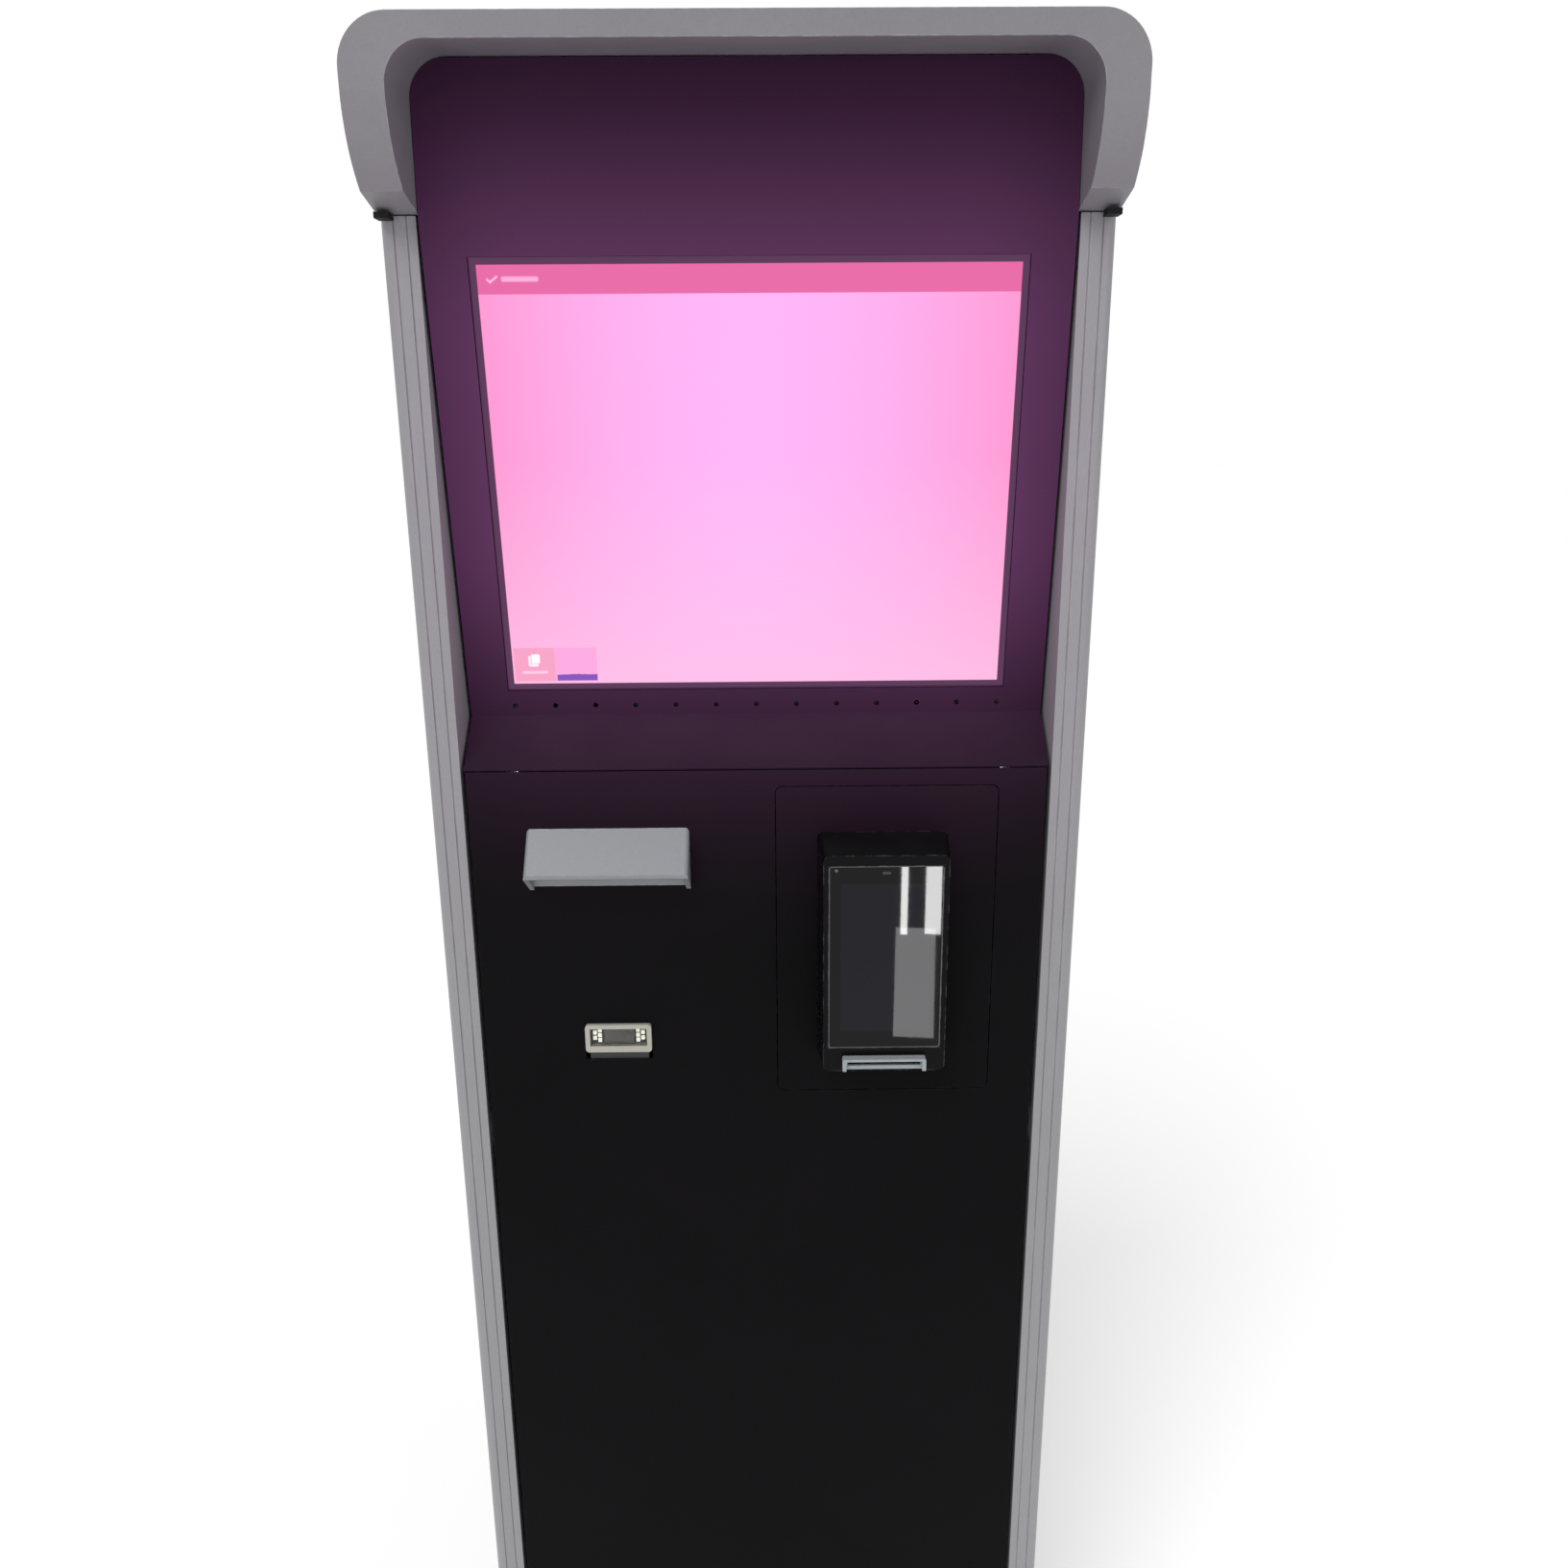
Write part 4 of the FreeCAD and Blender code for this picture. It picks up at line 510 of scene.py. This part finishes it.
def gridFaces(rows, columns, aroundRows=False, aroundColumns=False, turned=False):
    # quads between neighbours of a rows x columns grid of points, joined round where asked
    row = np.arange(rows if aroundRows else rows - 1)
    column = np.arange(columns if aroundColumns else columns - 1)
    r, c = np.meshgrid(row, column, indexing="ij")
    nextR, nextC = (r + 1) % rows, (c + 1) % columns
    corners = [r * columns + c, nextR * columns + c, nextR * columns + nextC, r * columns + nextC]
    quads = np.stack(corners, -1).reshape(-1, 4)
    return quads[:, ::-1] if turned else quads


def lathe(radius, along, count):
    # each profile point turned about the Y axis: (r cos a, y, r sin a)
    angle = np.linspace(0, 2 * np.pi, count, endpoint=False)
    r, a = np.meshgrid(radius, angle, indexing="ij")
    y = np.repeat(along[:, None], count, 1)
    return np.stack([r * np.cos(a), y, r * np.sin(a)], -1)


def roundedRing(halfX, halfZ, corner, bead, rise, count=64, across=9):
    # path: the corner's middle, by the signs of cos t and sin t, plus corner (cos t, sin t);
    # section: a half ellipse, outwards bead cos s and towards -Y rise sin s
    t = np.linspace(0, 2 * np.pi, count, endpoint=False) + np.pi / count
    s = np.linspace(0, np.pi, across)
    gt, gs = np.meshgrid(t, s, indexing="ij")
    radius = corner + bead * np.cos(gs)
    x = np.sign(np.cos(gt)) * (halfX - corner) + radius * np.cos(gt)
    z = np.sign(np.sin(gt)) * (halfZ - corner) + radius * np.sin(gt)
    return np.stack([x, -rise * np.sin(gs), z], -1)


def manyRings(rings, centres):
    # the same grid of points at each centre, with its faces numbered on
    points = rings[None] + np.array(centres)[:, None, None, :]
    each = gridFaces(rings.shape[0], rings.shape[1], aroundRows=True)
    step = rings.shape[0] * rings.shape[1] * np.arange(len(centres))
    return points, (each[None] + step[:, None, None]).reshape(-1, 4)


# mm, from the middle of the window and the front of the scanner's body
scanner = {"lensAside": 8.6, "lensRadius": 4.4, "lensFront": 0.9, "dome": 1.0, "ripple": 0.16, "rings": 4,
           "skirtFront": 0.6, "skirtBack": 0.1, "cupHalf": 12.2, "cupFront": 0.6, "cupDepth": 1.0,
           "cupWall": 0.4}


def makeScannerParts():
    low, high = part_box("scanner_window")
    centre = (low + high) / 2
    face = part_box("scanner_body")[0].y
    # lens: r runs from 0 to 1 at its rim, and y is a dome 1 - r^2 rippled by cos(2 pi rings r),
    # then a straight skirt
    r = np.linspace(0.0005, 1, 49)
    rim = scanner["lensRadius"] * mm
    dome = scanner["dome"] * (1 - r ** 2) + scanner["ripple"] * np.cos(2 * np.pi * scanner["rings"] * r)
    skirt = face - np.array([scanner["skirtFront"], scanner["skirtBack"]]) * mm
    radius = np.concatenate([r * rim, np.full(len(skirt), rim)])
    along = np.concatenate([face - (scanner["lensFront"] + dome) * mm, skirt])
    around = 64
    points = lathe(radius, along, around) + np.array([centre.x + scanner["lensAside"] * mm, 0, centre.z])
    faces = gridFaces(len(radius), around, aroundColumns=True, turned=True)
    addSurface("scannerLens", points, faces, "scanner_brown")
    # cup: a trough bent in X, y = face - front - depth (x / half)^4
    wall = scanner["cupWall"] * mm
    x = np.linspace(-1, 1, 41)
    z = np.linspace(low.z + wall, high.z - wall, 17)
    gx, gz = np.meshgrid(x, z, indexing="ij")
    gy = face - (scanner["cupFront"] + scanner["cupDepth"] * gx ** 4) * mm
    cup = np.stack([centre.x + gx * scanner["cupHalf"] * mm, gy, gz], -1)
    faces = gridFaces(len(x), len(z), turned=True)
    addSurface("scannerCup", cup, faces, "scanner_brown", thickness=wall)


makeScannerParts()
print("scanner pieces made")

# mm, from the middle and the top edge of the terminal's glass
terminal = {"cameraAside": -37.8, "cameraDrop": 2.9, "cameraRadius": 1.25, "cameraEye": 0.62,
            "eyeRise": 0.10, "ringRise": 0.16, "sensorDrop": 5.0, "sensorRadius": 1.1,
            "sensorStretch": 2.2, "sensorRise": 0.05, "lift": 0.03,
            "rimCorner": 2.2, "rimBead": 0.32, "rimRise": 0.22}


def makeCamera():
    low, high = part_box("terminal_glass")
    # t runs from the middle to the outside: a dome of glass out to t = split, then a ring that
    # rises and falls as half a sine
    split, eye = 0.6, terminal["cameraEye"]
    t = np.linspace(0, 1, 25)
    ringT = (t - split) / (1 - split)
    radius = np.where(t < split, t / split * eye + 1e-3, eye + ringT * (1 - eye))
    rise = np.where(t < split, terminal["eyeRise"] * (1 - (t / split) ** 2),
                    terminal["ringRise"] * np.sin(np.pi * ringT))
    around = 40
    points = lathe(radius * terminal["cameraRadius"] * mm, low.y - (terminal["lift"] + rise) * mm, around)
    aside = (low.x + high.x) / 2 + terminal["cameraAside"] * mm
    points += np.array([aside, 0, high.z - terminal["cameraDrop"] * mm])
    faces = gridFaces(len(t), around, aroundColumns=True, turned=True)
    addSurface("terminalCamera", points, faces, "rim_black")


def makeSensor():
    low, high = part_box("terminal_glass")
    # a low pill: y falls as 1 - t^4 towards its rim, and each half is moved aside by t times stretch
    t = np.linspace(0, 1, 12)
    radius = terminal["sensorRadius"] * mm * np.linspace(1e-3, 1, len(t))
    around = 40
    pill = lathe(radius, low.y - terminal["sensorRise"] * mm * (1 - t ** 4), around)
    pill[..., 0] += np.sign(pill[..., 0]) * terminal["sensorStretch"] * mm * t[:, None]
    pill += np.array([(low.x + high.x) / 2, -terminal["lift"] * mm, high.z - terminal["sensorDrop"] * mm])
    faces = gridFaces(len(t), around, aroundColumns=True, turned=True)
    addSurface("terminalSensor", pill, faces, "slate_steel")


def makeGlassRim():
    # polished edge of the terminal's glass, where it meets the housing
    low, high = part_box("terminal_glass")
    middle = (low + high) / 2
    half = (high - low) / 2
    ring = roundedRing(half.x, half.z, terminal["rimCorner"] * mm, terminal["rimBead"] * mm,
                       terminal["rimRise"] * mm)
    points, faces = manyRings(ring, [(middle.x, low.y, middle.z)])
    addSurface("terminalGlassRim", points, faces, "rim_black")


makeCamera()
makeSensor()
makeGlassRim()
print("terminal pieces made")

# connectors behind the service door: aside, height and half sizes in mm, and the bead round each
computerPorts = [(-176, 516, 6.5, 3.0), (-176, 526, 6.5, 3.0), (-158, 516, 6.5, 3.0), (-158, 526, 6.5, 3.0),
                 (-136, 521, 8.0, 6.5), (-112, 521, 7.5, 2.8), (-88, 521, 3.5, 3.5)]
supplyPorts = [(56 + 9.5 * index, 521, 3.6, 5.0) for index in range(8)]
socketBead = {"corner": 1.2, "bead": 0.7, "rise": 0.9, "lift": 0.02, "count": 32, "across": 7}


def makePorts(name, node, ports, finish):
    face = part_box(node)[1].y
    shells, links, count = [], [], 0
    for aside, height, halfX, halfZ in ports:
        ring = roundedRing(halfX * mm, halfZ * mm, socketBead["corner"] * mm, socketBead["bead"] * mm,
                           -socketBead["rise"] * mm, socketBead["count"], socketBead["across"])
        points, faces = manyRings(ring, [(aside * mm, face + socketBead["lift"] * mm, height * mm)])
        shells.append(points.reshape(-1, 3))
        links.append(faces[:, ::-1] + count)
        count += len(shells[-1])
    addSurface(name, np.concatenate(shells), np.concatenate(links), finish)


makePorts("computerPorts", "pc_case", computerPorts, "bright_steel")
makePorts("supplyTerminals", "power_supply", supplyPorts, "black_plastic")
print("connectors made")

# a round floor, its rings further apart outwards; the faint glow keeps the far floor as pale as the sky
studioGround = {"inner": 0.3, "outer": 60, "rings": 18, "around": 96, "dark": (0.97, 0.97, 0.97, 1),
                "light": (0.99, 0.99, 0.99, 1), "rough": 0.7, "glow": 0.12}


def makeFloor():
    angle = np.linspace(0, 2 * np.pi, studioGround["around"], endpoint=False)
    rings = np.geomspace(studioGround["inner"], studioGround["outer"], studioGround["rings"])
    reach = np.concatenate([[0.001], rings])
    flat = np.zeros((len(reach), len(angle)))
    points = np.stack([np.outer(reach, np.cos(angle)), np.outer(reach, np.sin(angle)), flat], -1)
    faces = gridFaces(len(reach), len(angle), aroundColumns=True)
    mesh = bpy.data.meshes.new("studioFloor")
    mesh.from_pydata(points.reshape(-1, 3).tolist(), [], faces.tolist())
    ground = bpy.data.objects.new("studioFloor", mesh)
    bpy.context.scene.collection.objects.link(ground)
    material, tree, shader = openMaterial("pale_floor")
    tone = effect(tree, "mottle", Vector=objectPlace(tree), Scale=1.5, Contrast=0.4)["Tone"]
    colour = blendColour(tree, tone, studioGround["dark"], studioGround["light"])
    tree.links.new(colour, shader.inputs["Base Color"])
    shader.inputs["Roughness"].default_value = studioGround["rough"]
    shader.inputs["Emission Strength"].default_value = studioGround["glow"]
    mesh.materials.append(material)


makeFloor()

# light
studio = bpy.context.scene
studio.view_settings.view_transform = "Standard"
world = bpy.data.worlds.new("studioSky")
studio.world = world
world.use_nodes = True
sky = world.node_tree
sky.nodes.clear()
skyLook = {"seen": 1.0, "cast": 0.55}  # brightness behind the kiosk, and of the light it casts
seen = put(sky, "ShaderNodeLightPath").outputs["Is Camera Ray"]
brightness = rescale(sky, seen, skyLook["cast"], skyLook["seen"])
glow = put(sky, "ShaderNodeBackground", {"Color": (1, 1, 1, 1), "Strength": brightness})
put(sky, "ShaderNodeOutputWorld", {"Surface": glow.outputs[0]})

# screenGlow stands for the light that the lit screen throws about itself
# the strips are tall soft lights beyond the customer's side, which the terminal's glass mirrors
lamps = [
    {"name": "sunLamp", "kind": "SUN", "at": (-1.0, -2.2, 3.4), "aim": (0, 0, 1.0), "spread": 34,
     "power": 1.75},
    {"name": "fillLamp", "kind": "AREA", "at": (2.2, -1.6, 2.2), "aim": (0, 0, 1.0), "size": (1.2, 1.6),
     "power": 9},
    {"name": "screenGlow", "kind": "AREA", "at": (0, -0.36, 1.36), "aim": (0, 0, 1.36), "size": (0.36, 0.28),
     "power": 0.24, "tint": (0.86, 0.30, 0.92), "hidden": True,
     "on": ("hood", "display_panel", "left_front_post", "right_front_post")},
    {"name": "stripNarrow", "kind": "AREA", "at": (0.283, -1.7, 0.464), "aim": (0.10, -0.15, 1.06),
     "size": (0.014, 0.146), "power": 0.30, "on": ("terminal_glass",)},
    {"name": "stripWide", "kind": "AREA", "at": (0.344, -1.7, 0.464), "aim": (0.13, -0.15, 1.06),
     "size": (0.033, 0.146), "power": 0.62, "on": ("terminal_glass",)},
    {"name": "stripDim", "kind": "AREA", "at": (0.308, -1.7, 0.275), "aim": (0.12, -0.15, 1.0),
     "size": (0.085, 0.23), "power": 0.55, "on": ("terminal_glass",)},
]


def makeLamp(lamp):
    light = bpy.data.lights.new(lamp["name"], lamp["kind"])
    if lamp["kind"] == "SUN":
        light.angle = math.radians(lamp["spread"])
    else:
        light.shape = "RECTANGLE"
        light.size, light.size_y = lamp["size"]
    light.energy = lamp["power"]
    light.color = lamp.get("tint", (1, 1, 1))
    holder = bpy.data.objects.new(lamp["name"], light)
    holder.location = lamp["at"]
    holder.rotation_euler = (Vector(lamp["aim"]) - Vector(lamp["at"])).to_track_quat("-Z", "Y").to_euler()
    if "on" in lamp:  # lights these nodes only
        lit = bpy.data.collections.new(lamp["name"] + "On")
        for name in lamp["on"]:
            lit.objects.link(nodes[name])
        holder.light_linking.receiver_collection = lit
    holder.visible_camera = False
    holder.visible_glossy = not lamp.get("hidden", False)
    studio.collection.objects.link(holder)


for lamp in lamps:
    makeLamp(lamp)

# camera
view = {"at": (0.0138, -1.0244, 1.398), "pitch": 15.7, "yaw": 0.45, "roll": -0.4, "lens": 28.44}


def aimCamera():
    pitch, yaw, roll = (math.radians(view[key]) for key in ("pitch", "yaw", "roll"))
    ahead = Vector((math.sin(yaw) * math.cos(pitch), math.cos(yaw) * math.cos(pitch), -math.sin(pitch)))
    right = Vector((math.cos(yaw), -math.sin(yaw), 0))
    up = right.cross(ahead)
    sideways = right * math.cos(roll) + up * math.sin(roll)
    upwards = up * math.cos(roll) - right * math.sin(roll)
    data = bpy.data.cameras.new("kioskCamera")
    data.lens = view["lens"]
    data.sensor_width = 36
    camera = bpy.data.objects.new("kioskCamera", data)
    turn = Matrix((sideways, upwards, -ahead)).transposed().to_4x4()
    camera.matrix_world = Matrix.Translation(view["at"]) @ turn
    studio.collection.objects.link(camera)
    studio.camera = camera


aimCamera()
print("studio made")
